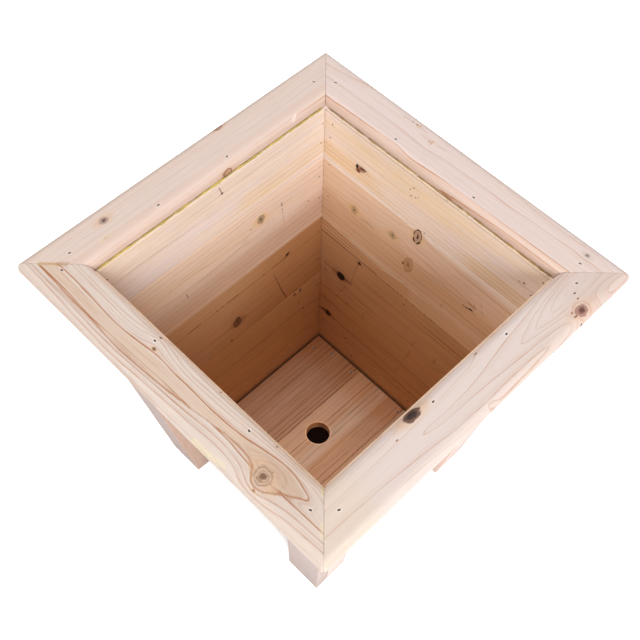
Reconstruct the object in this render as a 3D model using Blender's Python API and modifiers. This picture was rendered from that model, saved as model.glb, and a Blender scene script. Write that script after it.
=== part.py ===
"""Square tapered planter box, nailed together from softwood boards.

Four mitred rim boards sit on a tapered box of horizontal wall boards. Each
corner is wrapped on the outside by a pair of leg boards that reach the ground.
The floor is three butted boards resting on two cleats, with one drain hole.
Finishing brads hold the rim and the floor.

Metres, +Z up. The origin is on the ground under the centre of the box, and the
front side faces -Y.
"""

import math

import bmesh
import bpy
from mathutils import Matrix, Vector

MM = 0.001
GAP = 0.3 * MM  # clearance left between touching pieces

# overall
HEIGHT = 386 * MM  # ground to the top of the rim
TAPER = 0.1457  # outward lean of every wall, per unit of height
LEAN = math.atan(TAPER)
FOOT_HALF = 124 * MM  # half the outside width at the ground
SIDES = {"front": 0, "right": 90, "back": 180, "left": 270}  # degrees about Z from the front
LONG_SIDES = ("front", "back")  # their boards run through, the others butt between them
ENDS = (-1, 1)  # the two ends of a side, seen from outside: left, right

# rim
RIM_HALF = 200 * MM
RIM_WIDTH = 49 * MM
RIM_THICK = 12 * MM
RIM_BOTTOM = HEIGHT - RIM_THICK
RIM_ROUND = 8 * MM  # quarter-round on both top edges
RIM_ROUND_STEPS = 8
RIM_ARRIS = 1.2 * MM  # eased lower edges
RIM_ARRIS_STEPS = 2
RIM_CORNER = 4 * MM  # plan radius of the four outer corners
RIM_CORNER_STEPS = 6
RIM_SPARE = 20 * MM  # extra length, trimmed off by the mitres
MITRE_BLOCK = (300 * MM, 600 * MM, 80 * MM)  # cutter: across the mitre plane, along it, height

# legs and walls
BOARD_TOP = RIM_BOTTOM - GAP
LEG_THICK = 16.5 * MM
LEG_WIDTH = 45 * MM
WALL_THICK = 13.5 * MM
WALL_BOTTOM = 15 * MM
WALL_COURSES = 5
FIRST_JOINT = 64.2 * MM  # height of the lowest joint, on the inside face
JOINT_PITCH = 83.4 * MM
JOINT_DROP = WALL_THICK * math.sin(LEAN)  # a square joint is this much lower on the outside
ARRIS = 0.5 * MM  # eased board edges

# floor
FLOOR_TOP = 42 * MM
FLOOR_THICK = 12 * MM
FLOOR_BOTTOM = FLOOR_TOP - FLOOR_THICK
FLOOR_CUTS = (-24.5 * MM, 49 * MM)  # butt joints between the three floor boards
DRAIN_RADIUS = 14 * MM
DRAIN_SEGMENTS = 64
CLEAT_WIDTH = 22 * MM
CLEAT_THICK = 14 * MM
CLEAT_HALF = 90 * MM

# brads
RIM_BRAD = 25 * MM  # lengths
FLOOR_BRAD = 20 * MM
BRAD_THICK = 1.0 * MM
BRAD_HEAD = 2.0 * MM  # widths of the head, shank and tip
BRAD_SHANK = 1.25 * MM
BRAD_TIP = 0.375 * MM
BRAD_HEAD_EDGE = 0.56 * MM  # depth of the head's straight edge
BRAD_NECK = 1.28 * MM  # depth at which the head has narrowed to the shank
BRAD_POINT = 1.2 * MM  # length of the tapered point
BRAD_SUNK = 0.6 * MM
SLOT_ABOVE = 4 * MM  # how far the slot cutters stand above the wood
YAW_SWING = 24.0  # degrees either way
YAW_STEP = 2.4  # radians of phase from one brad to the next
YAW_START = 0.7

# Rim brads in mm: along the side, out from the centre.
# The first and last also enter the legs, the middle two the top wall board.
RIM_BRADS = {
    "front": ((-164, 174), (-48, 161.3), (73, 161.3), (158, 173.5)),
    "right": ((-157, 174), (-31, 161.3), (65.5, 161.3), (153.5, 171)),
    "back": ((-159.5, 173.5), (-40.5, 161.3), (62, 161.3), (158, 172.7)),
    "left": ((-157, 174.5), (-24.5, 161.3), (62.5, 161.3), (157, 174.5)),
}
# Floor brads in mm: x, y. Keyed by the cleat they enter.
FLOOR_BRADS = {
    "back": ((-87, 78.5), (-66.5, 88.5), (-31, 88.5), (47, 88.5)),
    "front": ((-60, -88.5), (12, -88.5), (73, -88.5)),
}


# ---------------------------------------------------------------- scene set-up
for old in list(bpy.data.objects):
    bpy.data.objects.remove(old, do_unlink=True)

box_collection = bpy.data.collections.new("planter_box")
cutter_collection = bpy.data.collections.new("cutters")
for collection in (box_collection, cutter_collection):
    bpy.context.scene.collection.children.link(collection)

root = bpy.data.objects.new("planter_root", None)
root.empty_display_size = 0.05
box_collection.objects.link(root)


def new_material(name, colour, roughness, metallic=0.0):
    material = bpy.data.materials.new(name)
    material.use_nodes = True
    shader = material.node_tree.nodes["Principled BSDF"]
    shader.inputs["Base Color"].default_value = (*colour, 1.0)
    shader.inputs["Roughness"].default_value = roughness
    shader.inputs["Metallic"].default_value = metallic
    material.diffuse_color = (*colour, 1.0)
    return material


RIM_WOOD = new_material("rim_fir", colour=(0.78, 0.66, 0.55), roughness=0.62)
WALL_WOOD = new_material("wall_fir", colour=(0.66, 0.46, 0.30), roughness=0.66)
LEG_WOOD = new_material("leg_fir", colour=(0.72, 0.58, 0.47), roughness=0.65)
FLOOR_WOOD = new_material("floor_fir", colour=(0.56, 0.38, 0.26), roughness=0.68)
CLEAT_WOOD = new_material("cleat_fir", colour=(0.60, 0.44, 0.31), roughness=0.72)
STEEL = new_material("brad_steel", colour=(0.42, 0.41, 0.40), roughness=0.38, metallic=0.9)


# --------------------------------------------------------------- shared helpers
def add_piece(name, data, material, matrix):
    piece = bpy.data.objects.new(name, data)
    data.materials.append(material)
    box_collection.objects.link(piece)
    piece.parent = root
    piece.matrix_local = matrix
    return piece


def add_cutter(name, data, matrix):
    tool = bpy.data.objects.new(name, data)
    cutter_collection.objects.link(tool)
    tool.matrix_world = matrix
    tool.hide_render = True
    tool.display_type = "WIRE"
    return tool


def cut(piece, tool, operation="DIFFERENCE"):
    boolean = piece.modifiers.new(tool.name, "BOOLEAN")
    boolean.operation = operation
    boolean.solver = "EXACT"
    boolean.object = tool


def ease_edges(piece):
    bevel = piece.modifiers.new("eased_arrises", "BEVEL")
    bevel.width = ARRIS
    bevel.segments = 2
    bevel.limit_method = "ANGLE"
    bevel.angle_limit = math.radians(40)
    bevel.use_clamp_overlap = True


def finish_mesh(name, shape):
    data = bpy.data.meshes.new(name)
    shape.to_mesh(data)
    shape.free()
    return data


def boxes_mesh(name, matrices):
    """A unit cube for each matrix, all in one mesh."""
    shape = bmesh.new()
    for matrix in matrices:
        bmesh.ops.create_cube(shape, size=1.0, matrix=matrix)
    return finish_mesh(name, shape)


def side_matrix(side, place=(0, 0, 0)):
    """A side is drawn as the front one, facing -Y, and turned about Z."""
    return Matrix.Rotation(math.radians(SIDES[side]), 4, "Z") @ Matrix.Translation(place)


def add_board(name, material, side, corner):
    """A cube whose corners go where corner(along, outward, up), each -1 or 1, puts them."""
    shape = bmesh.new()
    bmesh.ops.create_cube(shape, size=2.0)
    places = {
        vert: Vector(corner(round(vert.co.x), round(-vert.co.y), round(vert.co.z)))
        for vert in shape.verts
    }
    centre = sum(places.values(), Vector()) / 8
    for vert, place in places.items():
        vert.co = place - centre
    bmesh.ops.recalc_face_normals(shape, faces=shape.faces)
    board = add_piece(name, finish_mesh(name, shape), material, side_matrix(side, centre))
    ease_edges(board)
    return board


# Distance from the centre to each leaning face, at height z
def leg_outer(z):
    return FOOT_HALF + TAPER * z


def leg_inner(z):
    return leg_outer(z) - LEG_THICK / math.cos(LEAN)


def wall_outer(z):
    return leg_inner(z) - GAP


def wall_inner(z):
    return wall_outer(z) - WALL_THICK / math.cos(LEAN)


# -------------------------------------------------------------- legs and walls
def leg_board(side, end):
    on_long_side = side in LONG_SIDES

    def corner(along, outward, up):
        z = BOARD_TOP if up > 0 else 0.0
        if along != end:
            reach = leg_outer(z) - LEG_WIDTH
        elif on_long_side:
            reach = leg_outer(z)
        else:
            reach = leg_inner(z) - GAP
        return (end * reach, -(leg_outer(z) if outward > 0 else leg_inner(z)), z)

    # the box corner that this end of the side belongs to
    point = side_matrix(side) @ Vector((end, -1, 0))
    front_or_back = "front" if point.y < 0 else "back"
    left_or_right = "left" if point.x < 0 else "right"
    kind = "face" if on_long_side else "side"
    name = f"{front_or_back}_{left_or_right}_leg_{kind}_board"
    return add_board(name, LEG_WOOD, side, corner)


def wall_board(side, course):
    """Courses count from 0 at the bottom."""

    def corner(along, outward, up):
        joint = course + (up > 0)
        if joint == 0:
            z = WALL_BOTTOM
        elif joint == WALL_COURSES:
            z = BOARD_TOP
        else:
            z = FIRST_JOINT + (joint - 1) * JOINT_PITCH - up * GAP / 2
            if outward > 0:
                z -= JOINT_DROP
        end = wall_outer(z) if side in LONG_SIDES else wall_inner(z) - GAP
        return (along * end, -(wall_outer(z) if outward > 0 else wall_inner(z)), z)

    return add_board(f"{side}_wall_board_{course + 1}", WALL_WOOD, side, corner)


# -------------------------------------------------------------------------- rim
def arc(centre, radius, start, end, steps):
    """Points on an arc, with the angles in degrees."""
    for step in range(steps + 1):
        angle = math.radians(start + (end - start) * step / steps)
        yield (centre[0] + radius * math.cos(angle), centre[1] + radius * math.sin(angle))


def rim_profile():
    """Cross-section: X outward from the inner edge, Y up from the underside."""
    round_y = RIM_THICK - RIM_ROUND
    outer_round_x = RIM_WIDTH - RIM_ROUND
    outer_arris_x = RIM_WIDTH - RIM_ARRIS
    return [
        *arc((RIM_ARRIS, RIM_ARRIS), RIM_ARRIS, 270, 180, RIM_ARRIS_STEPS),
        *arc((RIM_ROUND, round_y), RIM_ROUND, 180, 90, RIM_ROUND_STEPS),
        *arc((outer_round_x, round_y), RIM_ROUND, 90, 0, RIM_ROUND_STEPS),
        *arc((outer_arris_x, RIM_ARRIS), RIM_ARRIS, 0, -90, RIM_ARRIS_STEPS),
    ]


def extruded_mesh(name, points, length):
    """One outline face in XY, pulled along Z, centred on its own plane."""
    shape = bmesh.new()
    outline = shape.faces.new([shape.verts.new((x, y, -length / 2)) for x, y in points])
    pulled = bmesh.ops.extrude_face_region(shape, geom=[outline])
    far_verts = [part for part in pulled["geom"] if isinstance(part, bmesh.types.BMVert)]
    bmesh.ops.translate(shape, verts=far_verts, vec=(0, 0, length))
    bmesh.ops.recalc_face_normals(shape, faces=shape.faces)
    return finish_mesh(name, shape)


def rim_corner_block():
    """Square block with rounded upright edges, whose overlap with the rim is kept."""
    shape = bmesh.new()
    size = Matrix.Diagonal((2 * RIM_HALF, 2 * RIM_HALF, 3 * RIM_THICK, 1))
    bmesh.ops.create_cube(shape, size=1.0, matrix=size)
    upright = [
        edge for edge in shape.edges
        if abs(edge.verts[0].co.z - edge.verts[1].co.z) > RIM_THICK
    ]
    bmesh.ops.bevel(
        shape, geom=upright, offset=RIM_CORNER, segments=RIM_CORNER_STEPS,
        profile=0.5, affect="EDGES",
    )
    name = "rim_corner_round"
    middle = Matrix.Translation((0, 0, HEIGHT - RIM_THICK / 2))
    return add_cutter(name, finish_mesh(name, shape), middle)


def mitre_cutter(side, end):
    """A block beyond the 45 degree plane through the centre, less half a gap."""
    matrix = (
        side_matrix(side)
        @ Matrix.Rotation(math.radians(45 * end), 4, "Z")
        @ Matrix.Translation((end * (MITRE_BLOCK[0] - GAP) / 2, 0, HEIGHT))
    )
    data = boxes_mesh("mitre", [Matrix.Diagonal((*MITRE_BLOCK, 1))])
    return add_cutter(f"{side}_mitre_{'right' if end > 0 else 'left'}", data, matrix)


def rim_board(side, corner_block):
    name = f"{side}_rim_board"
    # the profile's X points out (-Y of the side), its Y up, and it runs along the side
    turn = Matrix(((0, 0, -1, 0), (-1, 0, 0, 0), (0, 1, 0, 0), (0, 0, 0, 1)))
    frame = side_matrix(side, (0, -(RIM_HALF - RIM_WIDTH), RIM_BOTTOM)) @ turn
    data = extruded_mesh(name, rim_profile(), 2 * RIM_HALF + RIM_SPARE)
    board = add_piece(name, data, RIM_WOOD, frame)
    for end in ENDS:
        cut(board, mitre_cutter(side, end))
    cut(board, corner_block, "INTERSECT")
    return board


# -------------------------------------------------------------- floor and cleats
FLOOR_HALF = wall_inner(FLOOR_BOTTOM) - GAP  # its lower edge meets the leaning walls
FLOOR_EDGES = (-FLOOR_HALF, *FLOOR_CUTS, FLOOR_HALF)


def floor_board(index, place):
    low = FLOOR_EDGES[index] + (GAP / 2 if index > 0 else 0.0)
    high = FLOOR_EDGES[index + 1] - (GAP / 2 if index < 2 else 0.0)

    def corner(along, outward, up):
        z = FLOOR_TOP if up > 0 else FLOOR_BOTTOM
        return (high if along > 0 else low, -outward * FLOOR_HALF, z)

    return add_board(f"floor_board_{place}", FLOOR_WOOD, "front", corner)


def drain_drill():
    shape = bmesh.new()
    bmesh.ops.create_cone(
        shape, cap_ends=True, segments=DRAIN_SEGMENTS,
        radius1=DRAIN_RADIUS, radius2=DRAIN_RADIUS, depth=4 * FLOOR_THICK,
    )
    name = "drain_drill"
    return add_cutter(name, finish_mesh(name, shape), Matrix.Translation((0, 0, FLOOR_TOP)))


def floor_cleat(side):
    inner = wall_inner(FLOOR_BOTTOM - CLEAT_THICK) - GAP - CLEAT_WIDTH

    def corner(along, outward, up):
        z = FLOOR_BOTTOM - GAP - (0 if up > 0 else CLEAT_THICK)
        return (along * CLEAT_HALF, -(wall_inner(z) - GAP if outward > 0 else inner), z)

    return add_board(f"{side}_floor_cleat", CLEAT_WOOD, side, corner)


# ------------------------------------------------------------------------ brads
def brad_curve(name, length):
    """The brad's outline from its head at Y = 0 down, extruded both ways along Z."""
    right = (
        (BRAD_HEAD / 2, 0.0),
        (BRAD_HEAD / 2, -BRAD_HEAD_EDGE),
        (BRAD_SHANK / 2, -BRAD_NECK),
        (BRAD_SHANK / 2, -length + BRAD_POINT),
        (BRAD_TIP / 2, -length),
    )
    outline = right + tuple((-x, y) for x, y in reversed(right))
    data = bpy.data.curves.new(name, "CURVE")
    data.dimensions = "2D"
    data.fill_mode = "BOTH"
    data.extrude = BRAD_THICK / 2
    data.resolution_u = 1
    data.render_resolution_u = 0
    spline = data.splines.new("POLY")
    spline.points.add(len(outline) - 1)
    for point, (x, y) in zip(spline.points, outline):
        point.co = (x, y, 0.0, 1.0)
    spline.use_cyclic_u = True
    return data


def brad_frame(side, place, lean, number):
    """Local Y runs up the brad, local X along its head.

    The heads lie mostly along the side, each turned a little differently.
    """
    yaw = math.radians(YAW_SWING * math.sin(YAW_STEP * number + YAW_START))
    return (
        side_matrix(side, place)
        @ Matrix.Rotation(lean, 4, "X")
        @ Matrix.Rotation(yaw, 4, "Z")
        @ Matrix.Rotation(math.radians(90), 4, "X")
    )


def add_brads(prefix, frames, length):
    for number, frame in enumerate(frames, start=1):
        name = f"{prefix}_{number}"
        sunk = frame @ Matrix.Translation((0, -BRAD_SUNK, 0))
        add_piece(name, brad_curve(name, length), STEEL, sunk)


def slot_cutter(name, frames, length):
    """One cutter with a narrow slot for each of these brads."""
    depth = length + BRAD_SUNK + GAP
    middle = Matrix.Translation((0, (SLOT_ABOVE - depth) / 2, 0))
    size = Matrix.Diagonal((BRAD_HEAD + 2 * GAP, depth + SLOT_ABOVE, BRAD_THICK + 2 * GAP, 1))
    data = boxes_mesh(name, [frame @ middle @ size for frame in frames])
    return add_cutter(name, data, Matrix.Identity(4))


def nail_rim(side, first_number, rim, top_wall, legs):
    frames = [
        brad_frame(side, (along * MM, -out * MM, HEIGHT), LEAN, number)
        for number, (along, out) in enumerate(RIM_BRADS[side], start=first_number)
    ]
    add_brads(f"{side}_rim_brad", frames, RIM_BRAD)
    ends = slot_cutter(f"{side}_end_brad_slots", (frames[0], frames[3]), RIM_BRAD)
    middles = slot_cutter(f"{side}_middle_brad_slots", frames[1:3], RIM_BRAD)
    for board in (rim, *legs):
        cut(board, ends)
    for board in (rim, top_wall):
        cut(board, middles)


def nail_floor(side, first_number, boards, cleat):
    stations = FLOOR_BRADS[side]
    frames = [
        brad_frame("front", (x * MM, y * MM, FLOOR_TOP), 0.0, number)
        for number, (x, y) in enumerate(stations, start=first_number)
    ]
    add_brads(f"{side}_floor_brad", frames, FLOOR_BRAD)
    for board, low, high in zip(boards, FLOOR_EDGES, FLOOR_EDGES[1:]):
        here = [frame for frame, (x, y) in zip(frames, stations) if low < x * MM < high]
        if here:
            cut(board, slot_cutter(f"{side}_slots_{board.name}", here, FLOOR_BRAD))
    cut(cleat, slot_cutter(f"{side}_slots_cleat", frames, FLOOR_BRAD))


# --------------------------------------------------------------------- assembly
floor_boards = [floor_board(index, place) for index, place in enumerate(("left", "middle", "right"))]
cut(floor_boards[1], drain_drill())

corner_block = rim_corner_block()
brad_count = 0  # runs on through rim and floor, so that each brad has its own yaw
for side, stations in RIM_BRADS.items():
    legs = [leg_board(side, end) for end in ENDS]
    walls = [wall_board(side, course) for course in range(WALL_COURSES)]
    nail_rim(side, brad_count, rim_board(side, corner_block), walls[-1], legs)
    brad_count += len(stations)

for side, stations in FLOOR_BRADS.items():
    nail_floor(side, brad_count, floor_boards, floor_cleat(side))
    brad_count += len(stations)
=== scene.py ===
"""A tapered planter box of fir boards with their own grain and knots, sunk brads and dried glue.

The box stands on z = 0 round the Z axis. Its front faces -Y, its right side +X. Four walls lean
outwards up to a level mitred rim; the rim, legs, floor and cleats are single boards.
Every board is a mesh exactly where its CAD node is, and stands for that node. A board has its own
coordinates: u along the grain, v across the face, w the depth (0 on the shown face, negative below).
A smooth ring field is stored on its vertices. The material turns the field into growth rings, and
adds fibres, knots, brad marks, scratches and wear.
Lengths are millimetres unless a comment says otherwise; objects are in metres.
"""

import math

import bmesh
import bpy
import numpy as np
from mathutils import Matrix, Vector
from mathutils.kdtree import KDTree


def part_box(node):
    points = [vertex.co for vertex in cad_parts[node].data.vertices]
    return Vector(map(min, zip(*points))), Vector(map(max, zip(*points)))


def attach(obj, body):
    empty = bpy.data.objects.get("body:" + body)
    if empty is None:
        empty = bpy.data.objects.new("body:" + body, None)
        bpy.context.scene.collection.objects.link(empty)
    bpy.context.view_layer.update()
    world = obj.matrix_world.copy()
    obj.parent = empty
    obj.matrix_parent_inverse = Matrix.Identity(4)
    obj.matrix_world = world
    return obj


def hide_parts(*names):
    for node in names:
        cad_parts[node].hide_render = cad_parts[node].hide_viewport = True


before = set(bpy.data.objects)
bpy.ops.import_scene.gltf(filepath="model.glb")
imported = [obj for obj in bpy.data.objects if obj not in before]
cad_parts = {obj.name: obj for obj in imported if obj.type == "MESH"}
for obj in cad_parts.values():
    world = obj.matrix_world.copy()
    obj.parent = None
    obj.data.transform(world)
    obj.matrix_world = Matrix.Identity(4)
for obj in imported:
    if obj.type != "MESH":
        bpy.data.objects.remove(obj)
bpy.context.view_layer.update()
MM = 0.001


# =====================================================================================
# 1. Dimensions, read from the frame
# =====================================================================================
SIDES = ("front", "right", "back", "left")
TURN = {"front": 0.0, "right": 90.0, "back": 180.0, "left": 270.0}
LONG = ("front", "back")                         # walls that run past the ends of the other two
WALL_GAP = 0.3                                   # play at each end of the shorter walls
LEG_WIDTH = 45.0
LEVEL_REACH = 1.2                                # points this near a level belong to it


def node_points(node):
    """The CAD node's points in millimetres."""
    return np.array([v.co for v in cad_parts[node].data.vertices], float) * 1000.0


def side_to_world(points, side):
    """A side's own (along, outward, up) to world. Along runs left to right seen from outside."""
    turn = math.radians(TURN[side])
    cos, sin = math.cos(turn), math.sin(turn)
    x, y = points[:, 0], -points[:, 1]
    return np.column_stack([x * cos - y * sin, x * sin + y * cos, points[:, 2]])


def world_to_side(points, side):
    turn = math.radians(TURN[side])
    cos, sin = math.cos(turn), math.sin(turn)
    x = points[:, 0] * cos + points[:, 1] * sin
    y = -points[:, 0] * sin + points[:, 1] * cos
    return np.column_stack([x, -y, points[:, 2]])


def side_points(node, side="front"):
    return world_to_side(node_points(node), side)


rim_points = side_points("front_rim_board")
RIM_IN, RIM_OUT = rim_points[:, 1].min(), rim_points[:, 1].max()
RIM_LOW, TOP = rim_points[:, 2].min(), rim_points[:, 2].max()
RIM_THICK = TOP - RIM_LOW

leg_points = side_points("front_left_leg_face_board")
LEG_TOP = leg_points[:, 2].max()
foot_points = leg_points[leg_points[:, 2] < LEVEL_REACH]
head_points = leg_points[leg_points[:, 2] > LEG_TOP - LEVEL_REACH]
foot_point = foot_points[foot_points[:, 1].argmax()]
head_point = head_points[head_points[:, 1].argmax()]
# outward lean per unit of height
LEAN = (head_point[1] - foot_point[1]) / (head_point[2] - foot_point[2])
COS_LEAN = 1.0 / math.sqrt(1.0 + LEAN * LEAN)
SIN_LEAN = COS_LEAN * LEAN


def at_ground(points):
    """Outward distances, carried down the lean to z = 0."""
    return points[:, 1] - LEAN * points[:, 2]


FOOT, LEG_IN = at_ground(leg_points).max(), at_ground(leg_points).min()
LEG_THICK = (FOOT - LEG_IN) * COS_LEAN
wall_points = side_points("front_wall_board_3")
WALL_OUT, WALL_IN = at_ground(wall_points).max(), at_ground(wall_points).min()
WALL_THICK = (WALL_OUT - WALL_IN) * COS_LEAN
WALL_BOTTOM = side_points("front_wall_board_1")[:, 2].min()
WALL_TOP = side_points("front_wall_board_5")[:, 2].max()


def slope(z):
    """Distance up the slope of a wall's inner face, at height z."""
    return z / COS_LEAN


# =====================================================================================
# 2. Numeric helpers and ring fields
# =====================================================================================
def hashed(ix, iy, seed):
    mixed = ix.astype(np.int64) * 374761393 + iy.astype(np.int64) * 668265263
    mixed = (mixed + int(seed) * 1274126177) & 0x7FFFFFFF
    mixed = ((mixed ^ (mixed >> 13)) * 1274126177) & 0x7FFFFFFF
    mixed = (mixed ^ (mixed >> 16)) & 0x7FFFFFFF
    return mixed / 0x7FFFFFFF


def noise2(x, y, seed=0):
    """Smooth value noise between -1 and 1."""
    x, y = np.asarray(x, float), np.asarray(y, float)
    ix, iy = np.floor(x), np.floor(y)
    fx, fy = x - ix, y - iy
    fx, fy = fx * fx * (3 - 2 * fx), fy * fy * (3 - 2 * fy)
    low = hashed(ix, iy, seed) * (1 - fx) + hashed(ix + 1, iy, seed) * fx
    high = hashed(ix, iy + 1, seed) * (1 - fx) + hashed(ix + 1, iy + 1, seed) * fx
    return (low * (1 - fy) + high * fy) * 2 - 1


def smooth(start, stop, x):
    t = np.clip((np.asarray(x, float) - start) / (stop - start), 0, 1)
    return t * t * (3 - 2 * t)


def run_lengths(points):
    """Distance from the first point to each point along the run."""
    steps = np.linalg.norm(np.diff(points, axis=0), axis=1)
    return np.concatenate([[0], np.cumsum(steps)])


RUN_STEP = 7.0                                   # spacing of the samples along a grain line


def along_curve(points):
    """A smooth run through a few points, sampled about every RUN_STEP."""
    p = np.array(points, float)
    if len(p) == 2:
        count = max(2, int(np.linalg.norm(p[1] - p[0]) / RUN_STEP) + 1)
        return p[0] + np.linspace(0, 1, count)[:, None] * (p[1] - p[0])
    extended = np.vstack([2 * p[0] - p[1], p, 2 * p[-1] - p[-2]])
    out = []
    for i in range(1, len(extended) - 2):
        before, start, stop, after = extended[i - 1 : i + 3]
        count = max(1, int(math.ceil(np.linalg.norm(stop - start) / RUN_STEP)))
        t = (np.arange(count) / count)[:, None]
        leave, arrive = (stop - before) / 2, (after - start) / 2
        out.append(
            (2 * t**3 - 3 * t**2 + 1) * start + (t**3 - 2 * t**2 + t) * leave
            + (-2 * t**3 + 3 * t**2) * stop + (t**3 - t**2) * arrive
        )
    return np.vstack(out + [p[-1:]])


def curve(u, points):
    """Height at u of a run of points (u, height)."""
    p = np.array(points, float)
    return np.interp(u, p[:, 0], p[:, 1])


class RingField:
    """A smooth field whose whole-number levels run along the given grain lines.

    Each line is (level, strength, points), with points as (u, v) and strength either a number or
    one number for each point. The field has no strength at the quiet points.
    """

    STRETCH = 4.0                                # grain is this much longer than it is wide
    CHUNK = 4000                                 # points worked out at a time, to spare memory

    def __init__(self, lines, quiet=()):
        runs, levels, strengths = [], [], []
        for level, strength, points in lines:
            run = along_curve(points)
            if np.ndim(strength):
                given = run_lengths(np.array(points, float))
                sampled = run_lengths(run)
                power = np.interp(sampled / sampled[-1], given / given[-1], strength)
            else:
                power = np.full(len(run), float(strength))
            runs.append(run)
            levels.append(np.full(len(run), float(level)))
            strengths.append(power)
        centres = np.vstack(runs)
        marks = np.vstack([centres, np.array(quiet, float).reshape(-1, 2)])
        power = np.concatenate(strengths)
        self.marks = self._metric(marks)
        self.strength = np.concatenate([power, np.zeros(len(marks) - len(centres))])
        self.centres = self._metric(centres)
        count = len(centres)
        kernel = self._kernel(self.centres, self.centres) + np.eye(count) * 2.0
        poly = np.column_stack([np.ones(count), self.centres])
        system = np.block([[kernel, poly], [poly.T, np.zeros((3, 3))]])
        wanted = np.concatenate([np.concatenate(levels), np.zeros(3)])
        self.weights = np.linalg.lstsq(system, wanted, rcond=1e-10)[0]

    @classmethod
    def _metric(cls, points):
        return np.column_stack([points[:, 0] / cls.STRETCH, points[:, 1]])

    @staticmethod
    def _square(a, b):
        squared = (a[:, 0, None] - b[None, :, 0]) ** 2
        squared += (a[:, 1, None] - b[None, :, 1]) ** 2
        return squared

    @classmethod
    def _kernel(cls, a, b):
        squared = cls._square(a, b)
        return 0.5 * squared * np.log(squared + 1e-9)

    def _in_chunks(self, u, v, function):
        points = self._metric(np.column_stack([u, v]))
        out = np.empty(len(points))
        for start in range(0, len(points), self.CHUNK):
            out[start : start + self.CHUNK] = function(points[start : start + self.CHUNK])
        return out

    def rings(self, u, v):
        def level(part):
            poly = np.column_stack([np.ones(len(part)), part])
            bent = self._kernel(part, self.centres) @ self.weights[:-3]
            return bent + poly @ self.weights[-3:]

        return self._in_chunks(u, v, level)

    def strengths(self, u, v):
        def mean(part):
            weight = 1.0 / (self._square(part, self.marks) + 0.6) ** 2
            return (weight @ self.strength) / weight.sum(1)

        return self._in_chunks(u, v, mean)


class PithField:
    """Plain-sawn rings round a wandering pith, for a board whose lines aren't given one by one."""

    def __init__(self, seed, low, width, gap, knots):
        draw = np.random.default_rng(seed)
        self.seed, self.gap, self.knots = seed, gap, knots
        self.centre = draw.uniform(-0.6, 1.6) * width + low
        self.depth = draw.uniform(14, 60)
        self.wander = draw.uniform(3, 10)
        self.wave = draw.uniform(120, 320)
        self.lean = draw.uniform(-0.02, 0.02)
        self.phase = draw.uniform(0, 6.28)
        self.power = draw.uniform(0.35, 0.75)

    def rings(self, u, v):
        bent = v + 2.0 * noise2(u / 90.0, v / 25.0, self.seed)
        for ku, kv, a, b in self.knots:
            away = np.sqrt(((u - ku) / (a * 2.2)) ** 2 + ((bent - kv) / (b * 1.3)) ** 2)
            bent = kv + (bent - kv) * (0.30 + 0.70 * smooth(0.6, 2.4, away))
        swing = np.sin(u / self.wave * 6.28 + self.phase)
        pith = self.centre + self.lean * u + self.wander * swing
        dip = np.sin(u / self.wave * 4.1 + self.phase * 2)
        depth = self.depth + 0.35 * self.wander * dip
        return np.sqrt((bent - pith) ** 2 + depth**2) / self.gap

    def strengths(self, u, v):
        vary = noise2(self.rings(u, v) * 0.7, u / 160.0, self.seed + 5)
        return np.clip(self.power * (0.55 + 0.45 * vary), 0.05, 1)


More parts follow.
